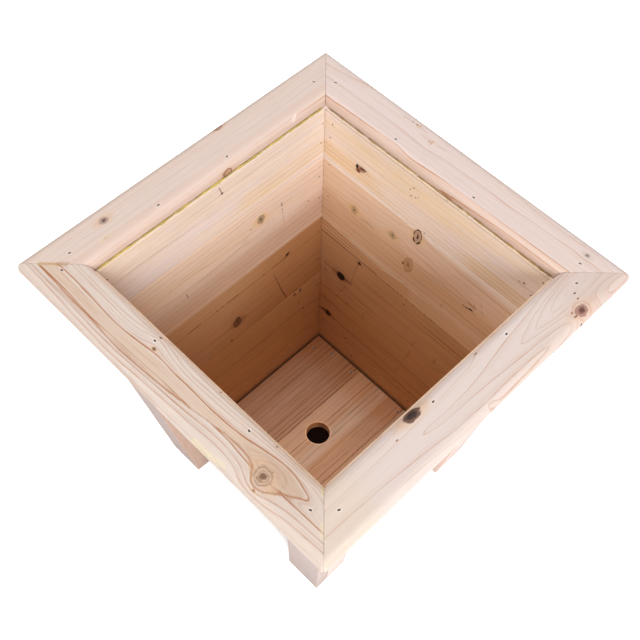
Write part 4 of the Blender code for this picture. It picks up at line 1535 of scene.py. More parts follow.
WALLS["left_wall_board_3"] = wall_look(
    "dark_wood_and_shade", 73,
    lines=[
        (9, 0.45, [(-140, 228), (0, 228.4), (120, 228)]),
        (8, 0.45, [(-140, 223.6), (0, 224), (120, 223.6)]),
        (7, 0.45, [(-140, 219), (0, 219.2), (120, 218.6)]),
        (6, 0.85, [(-140, 211.2), (0, 211.6), (120, 211.6)]),
        (5, 0.30, [(-140, 203.6), (0, 204), (120, 205)]),
        (4, 0.35, [(-140, 193), (0, 192.4), (120, 193)]),
        (3, [0.5, 0.85, 0.7, 0.25, 0.2],
         [(-130, 182.6), (-90, 182.4), (-40, 181.6), (10, 183), (120, 184)]),
        (2, [0.3, 0.5, 0.7, 0.9, 0.9, 0.6],
         [(-130, 171), (-60, 170.2), (-10, 170), (2, 170), (40, 171), (120, 173)]),
        (1, 0.40, [(-130, 159.6), (0, 160), (120, 160)]),
        (0, [0.3, 0.75, 0.6, 0.2], [(-130, 149.6), (-70, 149.4), (-35, 148.8), (120, 150)]),
    ],
    knots=[
        knot(13.0, 171.2, 4.4, 5.8, "black", halo=0.55, halo_size=2.0, core=0.25, bark=1.0,
             body_rgb=(150, 104, 70)),
        knot(16.4, 170.4, 3.2, 5.0, "black", halo=0.0, core=0.2, bark=1.0,
             body_rgb=(150, 104, 70)),
        knot(-70.0, 214.4, 3.0, 1.8, "black", halo=0.3, core=0.7, lean=-0.3),
        knot(27.0, 149.4, 1.4, 2.0, "red", halo=0.2, body=0.6),
    ],
    strokes=[
        *((a, 211.6, b, 211.7, 0.45, 0.5, 0.75, (70, 44, 28), 0.9)
          for a, b in ((-68, -52), (-51, -46), (-34, -32), (4, 21), (27, 29), (35, 37),
                       (60, 78))),
        (-47.0, 199, -48.6, 191.6, 0.30, 0.5, 0.75, (52, 30, 18)),
        (-48.6, 191.6, -50.8, 180, 0.30, 0.5, 0.8, (52, 30, 18)),
        (-50.8, 180, -54.2, 164, 0.40, 0.5, 0.85, (48, 28, 16)),
        (-54.2, 164, -58.8, 149.4, 0.50, 0.5, 0.9, (44, 26, 16)),
    ],
    bands=[
        ("band_a", lambda u, v: v - slope(211.6), (1.00, 1.02, 1.00), 1.0, 2.5, 0.25),
        # painted light and shade: lighter towards the front and top, darker towards the back-bottom
        # corner
        ("band_b", lambda u, v: (u - 5) * 0.2 + (v - slope(190)) * 0.1,
         (1.10, 1.18, 1.30), 1.0, 9.0, 0.0),
        ("band_c", lambda u, v: (-45 - u) * 0.2 + (slope(212) - v) * 0.1,
         (0.94, 0.86, 0.80), 1.0, 9.0, 0.0),
    ],
    rings=0.55, ring_width=0.75, fine=0.24, fibre=0.11, saw=0.8,
)
WALLS["left_wall_board_2"] = wall_look(
    "dark_wood_and_shade", 87,
    lines=[
        (7, [0.6, 0.6, 0.3, 0.5], [(-120, 139), (-80, 139.4), (-20, 139), (90, 138)]),
        (6, 0.25, [(-120, 130), (90, 130)]),
        (5, 0.15, [(-120, 120), (90, 120)]),
        (4, 0.95, [(-120, 102), (-102, 105), (-90, 109.6), (-60, 111), (-20, 109.8), (0, 109.2),
                   (90, 109)]),
        (3, 0.25, [(-110, 99), (90, 102)]),
        (2, 0.45, [(-110, 91), (0, 92.4), (90, 93)]),
        (1, 0.35, [(-110, 81.6), (0, 81), (90, 80)]),
        (0, 0.40, [(-110, 71), (0, 70.4), (90, 70)]),
    ],
    knots=[
        knot(-80.4, 142.6, 1.6, 2.6, "dark", halo=0.2, core=0.6, lean=0.5),
        knot(-71.0, 142.6, 2.0, 1.6, "red", halo=0.2, core=0.4),
        knot(-80.4, 109.6, 1.6, 1.0, "dark", halo=0.1),
    ],
    strokes=[(-74, 126, -76, 121, 0.35, 0.5, 0.5, (80, 50, 32))],
    rings=0.55, ring_width=0.8, fine=0.2, fibre=0.10,
)
WALLS["left_wall_board_1"] = wall_look(
    "dark_wood_and_shade", 95,
    lines=[
        (3, 0.45, [(-110, 57.4), (90, 57)]),
        (2, 0.25, [(-110, 50), (90, 50)]),
        (1, 0.35, [(-110, 38), (90, 39)]),
        (0, 0.35, [(-110, 26), (90, 27)]),
    ],
    rings=0.55, ring_width=0.8, fine_count=6.0, fine=0.2, fibre=0.10,
)
WALLS["back_wall_board_5"] = wall_look(
    "wall", 102,
    lines=[
        (0, [0.95, 0.9, 0.5, 0.2, 0.2],
         [(-145, 314.6), (-95, 315.6), (-62, 317), (0, 317.6), (145, 318)]),
        (1, [0.7, 0.6, 0.3, 0.4, 0.6],
         [(-145, 319.6), (-60, 321), (0, 322.4), (80, 322), (145, 322.6)]),
        (2, [0.55, 0.5, 0.2, 0.5, 0.6],
         [(-145, 325), (-60, 326.6), (0, 328), (70, 327), (145, 327.4)]),
        (3, [0.7, 0.6, 0.3, 0.3, 0.5],
         [(-145, 330), (-70, 331.6), (0, 333), (60, 333), (145, 333)]),
        (4, 0.25, [(-145, 338), (0, 339), (76, 337.6), (90, 341), (104, 338), (145, 338.6)]),
        (5, 0.35, [(-145, 345), (-20, 346), (145, 345.6)]),
        (6, 0.30, [(-145, 352), (-20, 352.6), (145, 353)]),
        (7, 0.35, [(-145, 359), (0, 360), (145, 360)]),
        (8, 0.25, [(-145, 367), (145, 368)]),
    ],
    knots=[
        knot(88.0, 333.6, 5.0, 3.0, "red", halo=0.3, core=0.40, bark=0.8,
             body_rgb=(196, 146, 116), core_rgb=(96, 58, 50), bark_rgb=(104, 64, 54)),
        knot(91.0, 329.6, 3.0, 2.4, "red", halo=0.2, core=0.3),
        knot(84.0, 335.4, 4.0, 1.0, "black", halo=0.0, core=0.7),
        knot(93.4, 333.8, 1.8, 2.8, "black", halo=0.0, core=0.7),
        knot(-126.0, 347.6, 1.3, 1.1, "brown", halo=0.4),
        knot(-121.0, 346.0, 0.8, 0.7, "brown", halo=0.3),
        knot(-6.0, 315.6, 0.8, 0.9, "grey", halo=0.1, core=0.7),
        knot(20.0, 359.6, 0.9, 0.8, "brown", halo=0.3),
        knot(23.6, 355.0, 0.8, 0.8, "brown", halo=0.3),
        knot(15.0, 349.6, 0.9, 0.6, "brown", halo=0.3),
        knot(21.0, 348.0, 0.9, 0.8, "brown", halo=0.3),
        knot(12.0, 353.0, 0.7, 0.5, "brown", halo=0.3),
    ],
    # painted shade: a dark line along the top, under the rim's edge
    strokes=chain([(-147, 372.8), (-20, 372.8), (147, 372.8)], 0.7, 1.3, 0.4, (150, 110, 62), 2.2),
    bands=[
        ("band_a", lambda u, v: np.minimum(v - slope(342), 12 - np.abs(u - 25) * 0.14),
         (0.98, 0.92, 0.72), 0.75, 5.0, 0.7),
        ("band_b", lambda u, v: np.maximum(
            np.minimum(np.minimum(v - slope(313), slope(332) - v), (-58 - u) * 0.10),
            np.minimum(np.minimum(v - slope(319), slope(336) - v), (u - 62) * 0.08),
        ), (0.95, 0.85, 0.62), 0.85, 1.6, 0.5),
    ],
    rings=0.60, fine_count=4.0, fine=0.32, fibre=0.18, broad=0.6, edge=0.03,
)
WALLS["back_wall_board_4"] = wall_look(
    "wall", 116,
    lines=[
        (0, 0.15, [(-145, 236), (-50, 235), (0, 232.6), (30, 231.4), (60, 232), (130, 235)]),
        (1, 0.35, [(-145, 242), (-50, 242), (20, 239.6), (60, 240), (130, 241)]),
        (2, 0.62, [(-145, 249.6), (-90, 249.4), (-40, 250.4), (0, 247.6), (30, 247),
                   (130, 247.4)]),
        (3, 0.40, [(-145, 257), (-60, 258), (-24, 257), (0, 250.2), (22, 253.6), (60, 257.4),
                   (130, 258.6)]),
        (4, [0.3, 0.4, 0.4, 0.65, 0.65, 0.65],
         [(-145, 262.6), (-60, 263.6), (20, 265.4), (60, 263.4), (100, 267), (130, 271.6)]),
        (5, [0.8, 0.75, 0.7, 0.5, 0.4],
         [(-87, 272), (-60, 269.8), (-30, 270), (0, 269.2), (24, 272)]),
        (5, [0.8, 0.75, 0.7, 0.5, 0.4],
         [(-87, 272), (-60, 275.4), (-20, 279.4), (10, 281.6), (20, 285)]),
        (5, 0.35, [(54, 270.6), (62, 272.8), (74, 271.8), (80, 268.4), (95, 269.4),
                   (130, 275.6)]),
        (4, 0.35, [(-145, 281), (-90, 280), (-60, 283), (-20, 287), (20, 291), (34, 289.4),
                   (60, 284), (85, 283.6), (130, 281)]),
        (3, 0.40, [(-145, 290.4), (-60, 291.6), (-20, 294), (0, 292.6), (20, 296), (60, 293),
                   (130, 290)]),
        (2, 0.68, [(-145, 298.6), (-90, 300), (-40, 301.6), (-14, 305), (-9, 311)]),
        (2, 0.55, [(10, 308), (16, 304.6), (40, 302), (80, 300), (130, 299)]),
        (1, 0.35, [(-145, 306), (-60, 308), (-20, 310.4)]),
        (1, 0.40, [(18, 310), (60, 308.6), (130, 307.4)]),
    ],
    quiet=[(-50, 273), (-10, 275), (0, 262)],
    knots=[
        knot(0.4, 304.4, 5.0, 9.6, "grey", halo=0.45, halo_size=1.45, core=0.28, bark=1.3,
             bark_rgb=(70, 42, 32), body_rgb=(214, 178, 148), core_rgb=(84, 54, 42)),
        knot(30.4, 281.6, 4.8, 5.0, "grey", halo=0.6, halo_size=1.7, core=0.34, bark=0.25,
             core_rgb=(112, 104, 90), body_rgb=(212, 178, 138)),
        knot(85.6, 275.2, 4.6, 5.6, "grey", halo=0.6, halo_size=1.7, core=0.34, bark=0.25,
             core_rgb=(126, 106, 84), body_rgb=(212, 176, 134)),
        knot(2.0, 259.2, 6.2, 9.6, "brown", halo=0.35, halo_size=1.35, core=0.30,
             core_rgb=(158, 120, 88), body_rgb=(212, 168, 130), bark_rgb=(160, 116, 82)),
        knot(9.0, 256.4, 1.3, 1.3, "red", halo=0.0, core=0.7),
        knot(-84.0, 266.4, 2.3, 1.3, "dark", halo=0.3, core=0.6),
    ],
    strokes=[
        (-86, 266.4, -79, 264.8, 0.75, 0.6, 0.9, (70, 40, 30)),
        (-79, 264.8, -73.6, 264.6, 0.55, 0.6, 0.8, (84, 50, 36)),
        (-91, 263.8, -86, 265.0, 0.4, 0.6, 0.45, (140, 96, 70)),
        (-89, 272.0, -86, 275.6, 0.6, 0.7, 0.55, (150, 96, 62)),
        (-99, 271.6, -96, 274.6, 0.6, 0.8, 0.35, (150, 100, 70)),
        (-95, 279, -93, 284, 0.5, 0.9, 0.3, (160, 112, 80)),
        (-86, 272.4, -78, 275, 0.5, 0.6, 0.6, (150, 98, 64)),
        (-51, 243.4, -50.6, 239, 0.4, 0.7, 0.5, (130, 90, 66)),
        *chain([(55, 270.4), (66, 271.6), (75.4, 270.6)], 0.5, 0.6, 0.5, (150, 100, 64)),
    ],
    bands=[
        # painted shade: darker down the wall, below where the light reaches
        ("band_c", lambda u, v: slope(272) - v, (0.90, 0.81, 0.72), 1.0, 14.0, 0.1),
        ("band_a", lambda u, v: slope(curve(u, [(-150, 241), (-60, 239.6), (0, 236), (40, 234),
                                                (80, 235), (140, 237)])) - v,
         (1.08, 1.12, 1.16), 1.0, 1.8, 0.1),
        ("band_b", lambda u, v: v - slope(curve(u, [(-150, 305), (-40, 308), (40, 311),
                                                    (140, 311)])),
         (1.09, 1.24, 1.46), 1.0, 1.5, 0.05),
    ],
    rings=0.66, fine=0.28, fibre=0.16, broad=0.35,
)
WALLS["back_wall_board_3"] = wall_look(
    "dark_wood_and_shade", 124,
    lines=[
        (9, [0.15, 0.2, 0.7, 0.9, 1.0, 1.0],
         [(-140, 229), (0, 226.4), (34, 222.6), (60, 224), (90, 226), (130, 228.6)]),
        (8, [0.25, 0.3, 0.8, 0.9, 1.0, 1.0],
         [(-140, 224), (0, 222.4), (30, 219.6), (46, 218), (80, 221), (130, 223.4)]),
        (7, [0.25, 0.3, 0.7, 1.0, 1.0, 1.0],
         [(-140, 218.6), (0, 218), (24, 216.4), (50, 214.4), (80, 216.4), (130, 217.6)]),
        (6, [0.4, 0.7, 0.8, 1.0, 1.0, 1.0],
         [(-140, 209.4), (-50, 210), (0, 210.6), (40, 210.8), (80, 211.6), (130, 211.8)]),
        (5, [0.8, 0.7, 0.3, 0.25, 0.2],
         [(-140, 202), (-60, 202), (-20, 202), (40, 204), (130, 204)]),
        (4, [1.0, 1.0, 0.6, 0.35, 0.2],
         [(-140, 193), (-58, 193.4), (-10, 194.6), (40, 196), (130, 196)]),
        (3, [1.0, 1.0, 0.8, 0.7, 0.3, 0.2],
         [(-140, 187), (-50, 187), (0, 185.6), (34, 184), (60, 184), (130, 186)]),
        (2, 0.50, [(-140, 172), (-50, 171.6), (0, 170.2), (50, 169), (70, 174), (84, 177),
                   (100, 173), (130, 170)]),
        (1, [0.4, 0.4, 0.55, 0.55, 0.55, 0.5],
         [(-140, 155), (-90, 154.6), (-30, 152.4), (40, 152.2), (80, 155.6), (130, 156.8)]),
    ],
    knots=[
        knot(84.6, 165.4, 6.4, 5.4, "black", halo_size=1.7, core=0.9),
        knot(63.0, 206.8, 2.4, 2.0, "black", halo=0.2, core=0.7),
        knot(-7.0, 200.0, 1.2, 0.8, "dark", halo=0.1),
    ],
    strokes=[
        *((a, 210.2, b, 210.4, 0.5, 0.5, 0.7, (70, 44, 28), 0.9)
          for a, b in ((-50, -49), (-46, -44), (-36, -35), (-20, -18), (-9, -7), (-2, 0), (4, 6),
                       (10, 12), (16, 21))),
        (38, 211.4, 128, 212, 0.5, 0.6, 0.65, (66, 40, 26), 0.9),
        (64.0, 206, 65.4, 198, 0.4, 0.6, 0.45, (56, 34, 22)),
        (65.4, 198, 66.6, 188, 0.3, 0.6, 0.35, (66, 40, 26)),
        (66.6, 188, 68.4, 168, 0.25, 0.6, 0.35, (90, 56, 36)),
        (68, 166.2, 79, 166, 0.9, 1.0, 0.6, (70, 42, 28)),
        (90, 166.4, 112, 166.8, 0.6, 1.0, 0.5, (84, 52, 34)),
        (-66, 160, -65, 151, 0.4, 0.8, 0.45, (90, 58, 38)),
        (75, 157, 77, 150, 0.4, 0.8, 0.4, (90, 58, 38)),
        (-34, 160, -32, 150, 0.3, 0.8, 0.3, (90, 58, 38)),
    ],
    bands=[
        ("band_c", lambda u, v: v - slope(210.6), (1.22, 1.42, 1.70), 1.0, 3.0, 0.20),
        # painted shade: darker towards the back-left corner
        ("band_a", lambda u, v: np.minimum(np.minimum(
            v - slope(211.4),
            slope(curve(u, [(-150, 229), (0, 228), (30, 224.6), (60, 226), (130, 230.6)])) - v,
        ), (u + 10) * 0.16), (0.93, 0.84, 0.74), 0.9, 0.8, 0.35),
        ("band_b", lambda u, v: v - slope(curve(u, [
            (-150, 231.5), (-50, 231.2), (0, 228), (30, 225.2), (60, 226.2), (100, 229),
            (130, 230.8)])),
         (1.08, 1.20, 1.35), 1.0, 0.6, 0.0),
    ],
    rings=0.70, fine=0.26, fibre=0.12, saw=0.8,
)
WALLS["back_wall_board_2"] = wall_look(
    "dark_wood_and_shade", 139,
    lines=[
        (9, 0.30, [(-120, 143), (120, 144)]),
        (8, [0.15, 0.2, 0.5, 0.5], [(-120, 130), (30, 130), (60, 130.4), (120, 130)]),
        (7, 0.18, [(-120, 119), (120, 119)]),
        (6, 0.80, [(-110, 105), (-60, 107.4), (0, 109.4), (60, 110.6), (120, 111.6)]),
        (5, 0.40, [(-110, 99.6), (0, 103), (120, 105)]),
        (4, [0.9, 0.95, 0.95, 1.0, 1.0],
         [(-110, 83.6), (-40, 86.8), (0, 88.2), (80, 89.2), (120, 90)]),
        (3, 0.05, [(-110, 79), (0, 81), (120, 81)]),
        (2, [0.95, 0.95, 0.8, 0.25, 0.2],
         [(-110, 72.4), (-40, 74.2), (-8, 75), (30, 75.4), (120, 75.4)]),
        (1, 0.35, [(-110, 67.6), (0, 69), (120, 69)]),
    ],
    knots=[
        knot(92.4, 89.4, 4.6, 3.8, "black", halo=0.4, core=0.2, bark=1.2, body_rgb=(90, 60, 40)),
        knot(100.0, 89.6, 2.6, 1.6, "black", halo=0.2, core=0.6),
        knot(68.0, 130.0, 2.4, 0.9, "dark", halo=0.1),
        knot(83.0, 130.4, 1.4, 0.9, "dark", halo=0.1),
        knot(58.6, 72.0, 1.5, 1.0, "dark", halo=0.1),
    ],
    strokes=[
        (-33, 140, -28, 120, 0.3, 0.8, 0.35, (90, 58, 38)),
        (41, 138, 41, 124, 0.3, 0.8, 0.3, (90, 58, 38)),
        (-23, 97, -22, 93, 0.4, 0.6, 0.5, (80, 50, 32)),
        (78, 146, 80, 142, 0.4, 0.8, 0.4, (90, 58, 38)),
    ],
    bands=[
        ("band_a", lambda u, v: np.minimum(
            v - slope(curve(u, [(-110, 73.4), (0, 75.6), (120, 76)])),
            slope(curve(u, [(-110, 83), (0, 87.4), (120, 89)])) - v,
        ), lin(255, 255, 255), 0.0, 0.5, 0.0),
    ],
    rings=0.75, fine=0.2, fibre=0.10,
)
WALLS["back_wall_board_1"] = wall_look(
    "dark_wood_and_shade", 148,
    lines=[
        (3, 0.70, [(-110, 62.6), (110, 63.4)]),
        (2, 0.30, [(-110, 57), (110, 57)]),
        (1, 0.75, [(-110, 51.4), (110, 52.2)]),
        (0, 0.35, [(-110, 38), (110, 39)]),
        (-1, 0.35, [(-110, 26), (110, 27)]),
    ],
    knots=[
        knot(44.0, 51.0, 1.5, 1.3, "dark", halo=0.2),
        knot(-50.0, 57.6, 1.3, 0.9, "dark", halo=0.2),
    ],
    rings=0.65, fine=0.25, fibre=0.10,
)


# ---- floor boards: the grain runs front to back, v is x
def floor_lines(bend, stations):
    """Lines front to back at each (x, strength), moved by bend at front, middle and back."""
    return [
        (level, strength, [(u, x + move) for u, move in zip((-110, 0, 110), bend)])
        for level, (x, strength) in enumerate(stations)
    ]


FLOOR = {}
FLOOR["left"] = board_look(
    "floor_left", 201,
    lines=floor_lines((-0.4, 0, 0.3), (
        (-98, 0.4), (-92, 0.3), (-85, 0.35), (-78, 0.3), (-72, 0.65), (-66, 0.3), (-61.5, 0.6),
        (-54, 0.6), (-47.5, 0.7), (-40.5, 0.8), (-34, 0.7), (-29.5, 0.75),
    )),
    bands=[
        # painted shade: darker towards the back
        ("band_a", lambda u, v: u - 62.0, (0.98, 0.86, 0.68), 1.0, 12.0, 0.1),
        ("band_b", lambda u, v: 6.0 - np.abs(v + 60.0), (1.10, 1.15, 1.26), 1.0, 3.0, 0.3),
        ("band_c", lambda u, v: -90.0 - v, (1.0, 0.90, 0.80), 1.0, 8.0, 0.1),
    ],
    rings=0.95, ring_width=0.80, fine_count=3.0, fine=0.50, fibre=0.22, broad=0.4, saw=0.4,
)
FLOOR["middle"] = board_look(
    "floor", 213,
    lines=floor_lines((0, 0.1, 0), (
        (-22, 0.2), (-15, 0.3), (-9, 0.25), (-3.4, 0.75), (2.4, 0.6), (8.6, 0.65), (15, 0.4),
        (22, 0.35), (28, 0.5), (35, 0.35), (42, 0.45), (48, 0.35),
    )),
    bands=[
        ("band_a", lambda u, v: v - 24.5, lin(240, 228, 220), 0.9, 2.5, 0.2),
        ("band_b", lambda u, v: 8.0 - np.abs(v - 14.0), (1.04, 1.17, 1.32), 1.0, 4.0, 0.3),
        # painted shade: darker towards the back
        ("band_c", lambda u, v: u - 62.0, (1.0, 0.88, 0.76), 1.0, 12.0, 0.1),
        ("band_d", lambda u, v: 15.6 - np.hypot(u, v), (1.35, 1.35, 1.30), 1.0, 0.5, 0.0),
    ],
    rings=0.90, ring_width=0.80, fine_count=3.0, fine=0.46, fibre=0.22, broad=0.4, saw=0.4,
)
FLOOR["right"] = board_look(
    "floor", 229,
    lines=floor_lines((0, 0.3, 0), (
        (50, 0.3), (57, 0.45), (64, 0.3), (71, 0.4), (78, 0.3), (85, 0.4), (92, 0.3), (98, 0.3),
    )),
    rings=0.85, ring_width=0.80, fine_count=3.0, fine=0.45, fibre=0.20, broad=0.4, saw=0.4,
)


def plain_sawn(seed, palette, width, length, centre=0.0, low=0.0, knots=1, **changes):
    """A board with no lines of its own: plain-sawn figure and a few knots from a seed."""
    draw = np.random.default_rng(seed)
    spots = []
    for _ in range(knots):
        u = centre + draw.uniform(-0.4, 0.4) * length
        v = low + draw.uniform(0.2, 0.8) * width
        spots.append((u, v, draw.uniform(2.5, 5.0), draw.uniform(2.2, 4.4)))
    field = PithField(seed, low, width, draw.uniform(3.6, 6.5), spots)
    styles = ("dark", "grey", "brown", "red")
    marks = [knot(*spot, styles[int(draw.integers(0, 4))], halo=0.45, core=0.45) for spot in spots]
    figure = dict(
        rings=0.6, ring_width=0.8, fine_count=3.0, fine=0.22, fibre=0.10, broad=0.4, saw=0.5
    )
    figure.update(changes)
    return board_look(palette, seed % 97 + 3, field=field, knots=marks, **figure)


# =====================================================================================
# 8. Building every board
# =====================================================================================
def finish_board(board, node, look, from_world, axis, brads=(), brad_marks=False, drain=False):
    """Builds the board with its holes, dresses it and lets it stand for its CAD node.

    Some boards show marks round their brads, with painted shade in the dark ring round each hole.
    """
    cutter = None
    if brads or drain:
        cutter = bmesh.new()
        for name in brads:
            add_slot(cutter, BRADS[name])
        if drain:
            add_drain(cutter)
    obj = board.build(cutter)
    mesh = obj.data
    dress(board, obj, from_world, look, "_wall_board_" in node)
    strokes = look["strokes"] + (brad_strokes(brads, from_world) if brad_marks else [])
    u, v, _ = from_world(positions(mesh.polygons, "center")).T
    knot_layers = mark_knots(mesh, u, v, look["knots"], look["seed"])
    stroke_layers = mark_strokes(mesh, u, v, strokes)
    mat = board_material(node, look, axis, knot_layers, stroke_layers)
    mesh.materials.clear()
    mesh.materials.append(mat)
    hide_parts(node)
    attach(obj, "root")


# ---- rim ------------------------------------------------------------------------------
CORNER = 4.0                                     # radius of the rim's outer corners, from above
CORNER_START = RIM_OUT - CORNER


def rim_ends(v, w):
    """Mitred ends, held short of the turn of the rounded corner."""
    past = v - CORNER_START
    turned = np.minimum(v - 0.1, CORNER_START + 0.7071 * past - 0.05)
    end = np.where(past > 0, turned, v - 0.1)
    return -end, end


def rim_corner(local):
    """Pulls the outer corners onto their arcs."""
    u, v = local[:, :, 0], local[:, :, 1]
    past = v - CORNER_START
    x = np.abs(u) - CORNER_START
    on_arc = CORNER_START + np.sqrt(np.maximum(past * past - x * x, 0.0))
    local[:, :, 1] = np.where((past > 0) & (x > 0), on_arc, v)
    return local


def build_rim(index, side):
    to_world, from_world = level_frames(side, TOP)
    section = board_section(
        RIM_IN, RIM_OUT, -RIM_THICK, 0.0, step=1.6, radii=(8.0, 8.0, 1.2, 1.2)
    )
    board = Board(
        f"{side}_rim_plank", section, rim_ends, to_world, seed=300 + index, step=2.6, arris=0.28,
        wear=0.10, corner=rim_corner, extra=(1.2, 2.0, 2.8, 3.6),
    )
    finish_board(
        board, f"{side}_rim_board", RIM[side], from_world, side_axis(side),
        brads=[f"{side}_rim_brad_{i}" for i in (1, 2, 3, 4)], brad_marks=True,
    )


# ---- walls ----------------------------------------------------------------------------
def build_wall_board(index, side, course):
    node = f"{side}_wall_board_{course}"
    to_world, from_world = wall_frames(side)
    flat = from_world(node_points(node))
    # the square faces' own limits; top and bottom of the wall are cut level instead
    low = WALL_BOTTOM / COS_LEAN if course == 1 else flat[:, 1].min()
    high = WALL_TOP / COS_LEAN if course == 5 else flat[:, 1].max()
    points, normal, edge = board_section(
        low, high, -WALL_THICK, 0.0, step=1.8 if side in ("left", "back") else 3.0
    )
    if course in (1, 5):
        share = (points[:, 0] - low) / (high - low)
        share = 1 - share if course == 1 else share
        points[:, 0] -= LEAN * points[:, 1] * share

    def ends(v, w):
        z = COS_LEAN * v + SIN_LEAN * w
        end = WALL_OUT + LEAN * z if side in LONG else WALL_IN + LEAN * z - WALL_GAP
        return -end, end

    look = WALLS.get(node) or plain_sawn(
        400 + 11 * index + course, "wall" if course > 3 else "dark_wood_and_shade", high - low, length=220,
        low=low, knots=2 if course in (2, 4) else 1,
    )
    board = Board(
        f"{side}_wall_plank_{course}", (points, normal, edge), ends, to_world,
        seed=500 + index * 10 + course, step=3.0 if node in WALLS else 6.0,
    )
    finish_board(
        board, node, look, from_world, side_axis(side),
        brads=[f"{side}_rim_brad_{i}" for i in (2, 3)] if course == 5 else (),
    )


# ---- legs -----------------------------------------------------------------------------
# The leg at each side's left (-1) and right (1) end seen from outside
HANDS = {
    "front": {-1: "front_left", 1: "front_right"},
    "right": {-1: "front_right", 1: "back_right"},
    "back": {-1: "back_right", 1: "back_left"},
    "left": {-1: "back_left", 1: "front_left"},
}
FRONT_LEG_MARK = (116.0, -131.6, 52.0)           # a small dark mark, in world coordinates


def leg_ends(v, w):
    return 0.0 * v, 0.0 * v + LEG_TOP


def build_leg_board(index, side, hand):
    leg, kind = HANDS[side][hand], "face" if side in LONG else "side"
    node = f"{leg}_leg_{kind}_board"
    to_world, from_world = leg_frames(side, hand)
    wide = from_world(node_points(node))[:, 1].max()
    look = plain_sawn(
        700 + 10 * index + hand, "leg", wide, length=300, centre=190.0,
        knots=2 if hand > 0 else 1, rings=0.45, fine=0.2, broad=0.45,
    )
    look["pith"] = (20.0, -50.0)
    if node == "front_left_leg_face_board":
        look["bands"] = [("band_a", lambda u, v: 1.0 - v, (0.965, 0.885, 0.785), 1.0, 0.4, 0.0)]
    if node == "front_right_leg_face_board":
        u, v, _ = from_world(np.array([FRONT_LEG_MARK]))[0]
        look["strokes"] = [(u - 0.3, v, u + 0.3, v, 0.8, 0.5, 0.8, (96, 78, 72))]
    board = Board(
        f"{leg}_leg_{kind}_plank", board_section(0.0, wide, -LEG_THICK, 0.0, step=3.0), leg_ends,
        to_world, seed=800 + 10 * index + hand, wear=0.16,
    )
    start, stop = to_world(np.array([[0.0, 0.0, 0.0], [1.0, 0.0, 0.0]]))
    axis = (stop - start) / np.linalg.norm(stop - start)
    finish_board(
        board, node, look, from_world, axis,
        brads=[f"{side}_rim_brad_{1 if hand < 0 else 4}"],
    )


# ---- floor and cleats -----------------------------------------------------------------
# painted shade: a dark line along the gap beside the walls
GAP_SHADE = (1.5, 0.5, 1.0, (36, 22, 18), 0.35)      # stroke style of the gap beside the walls


def build_floor_board(index, part):
    node = f"floor_board_{part}"
    lo, hi = (np.array(v) * 1000.0 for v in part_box(node))
    to_world, from_world = floor_frames(FLOOR_TOP)

    def ends(v, w):
        return 0.0 * v + lo[1], 0.0 * v + hi[1]

    strokes = [(hi[1], lo[0], hi[1], hi[0], *GAP_SHADE)]
    if part == "left":
        strokes.append((lo[1], lo[0], hi[1], lo[0], *GAP_SHADE))
    board = Board(
        f"floor_plank_{part}", board_section(lo[0], hi[0], -FLOOR_THICK, 0.0, step=1.8), ends,
        to_world, seed=900 + index, step=4.0, wear=0.10,
    )
    finish_board(
        board, node, dict(FLOOR[part], strokes=strokes), from_world, (0, 1, 0),
        brads=[
            name for name, pose in BRADS.items()
            if "_floor_brad_" in name and lo[0] < pose[0][0] < hi[0]
        ],
        brad_marks=True, drain=part == "middle",
    )


def build_cleat(index, side):
    """A cleat under the floor, its outer face following the wall's lean."""
    node = f"{side}_floor_cleat"
    p = side_points(node, side)
    top, low = p[:, 2].max(), p[:, 2].min()
    inner, half = p[:, 1].min(), p[:, 0].max()
    far_top = p[p[:, 2] > top - LEVEL_REACH][:, 1].max()
    far_low = p[p[:, 2] < low + LEVEL_REACH][:, 1].max()
    to_world, from_world = level_frames(side, top)
    points, normal, edge = board_section(inner, far_low, low - top, 0.0, step=4.0)
    rise = (points[:, 1] - (low - top)) / (top - low)
    points[:, 0] += (far_top - far_low) * rise * (points[:, 0] - inner) / (far_low - inner)

    def ends(v, w):
        return 0.0 * v - half, 0.0 * v + half

    board = Board(
        f"{side}_cleat_plank", (points, normal, edge), ends, to_world, seed=950 + index, wear=0.15
    )
    look = plain_sawn(960 + index, "cleat", far_low - inner, length=160, low=inner, knots=0)
    finish_board(
        board, node, look, from_world, side_axis(side),
        brads=[name for name in BRADS if name.startswith(f"{side}_floor_brad")],
    )


for side_index, side_name in enumerate(SIDES):
    build_rim(side_index, side_name)
for side_index, side_name in enumerate(SIDES):
    for wall_course in (1, 2, 3, 4, 5):
        build_wall_board(side_index, side_name, wall_course)
for side_index, side_name in enumerate(SIDES):
    for leg_hand in (-1, 1):
        build_leg_board(side_index, side_name, leg_hand)
for part_index, part_name in enumerate(("left", "middle", "right")):
    build_floor_board(part_index, part_name)
for side_index, side_name in enumerate(LONG):
    build_cleat(side_index, side_name)


# =====================================================================================
# 9. Brads, wall brads and glue
# =====================================================================================
def steel_material():
    mat, net = new_material("bright_brad_steel")
    place = net.add("ShaderNodeTexCoord").outputs["Object"]
    speck = net.noise(place, scale=1400.0, detail=4.0, rough=0.6)
    patch = net.noise(place, scale=350.0)
    # dark steel: its colour is partly painted shade, for heads sitting down in their holes
    colour = net.mix(net.step(0.42, 0.66, speck), lin(112, 100, 94), lin(58, 48, 44))
    colour = net.mix(net.step(0.52, 0.68, patch) * 0.7, colour, lin(86, 52, 36))
    shader = net.add("ShaderNodeBsdfPrincipled")
    net.put(shader.inputs["Base Color"], colour)
    net.put(shader.inputs["Roughness"], net.step(0.3, 0.8, speck, low=0.38, high=0.75))
    shader.inputs["Metallic"].default_value = 0.8
    net.surface(shader, speck, strength=0.5, distance=0.1)
    return mat


STEEL = steel_material()
for name in BRADS:
    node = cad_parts[name]
    node.data.materials.clear()
    node.data.materials.append(STEEL)


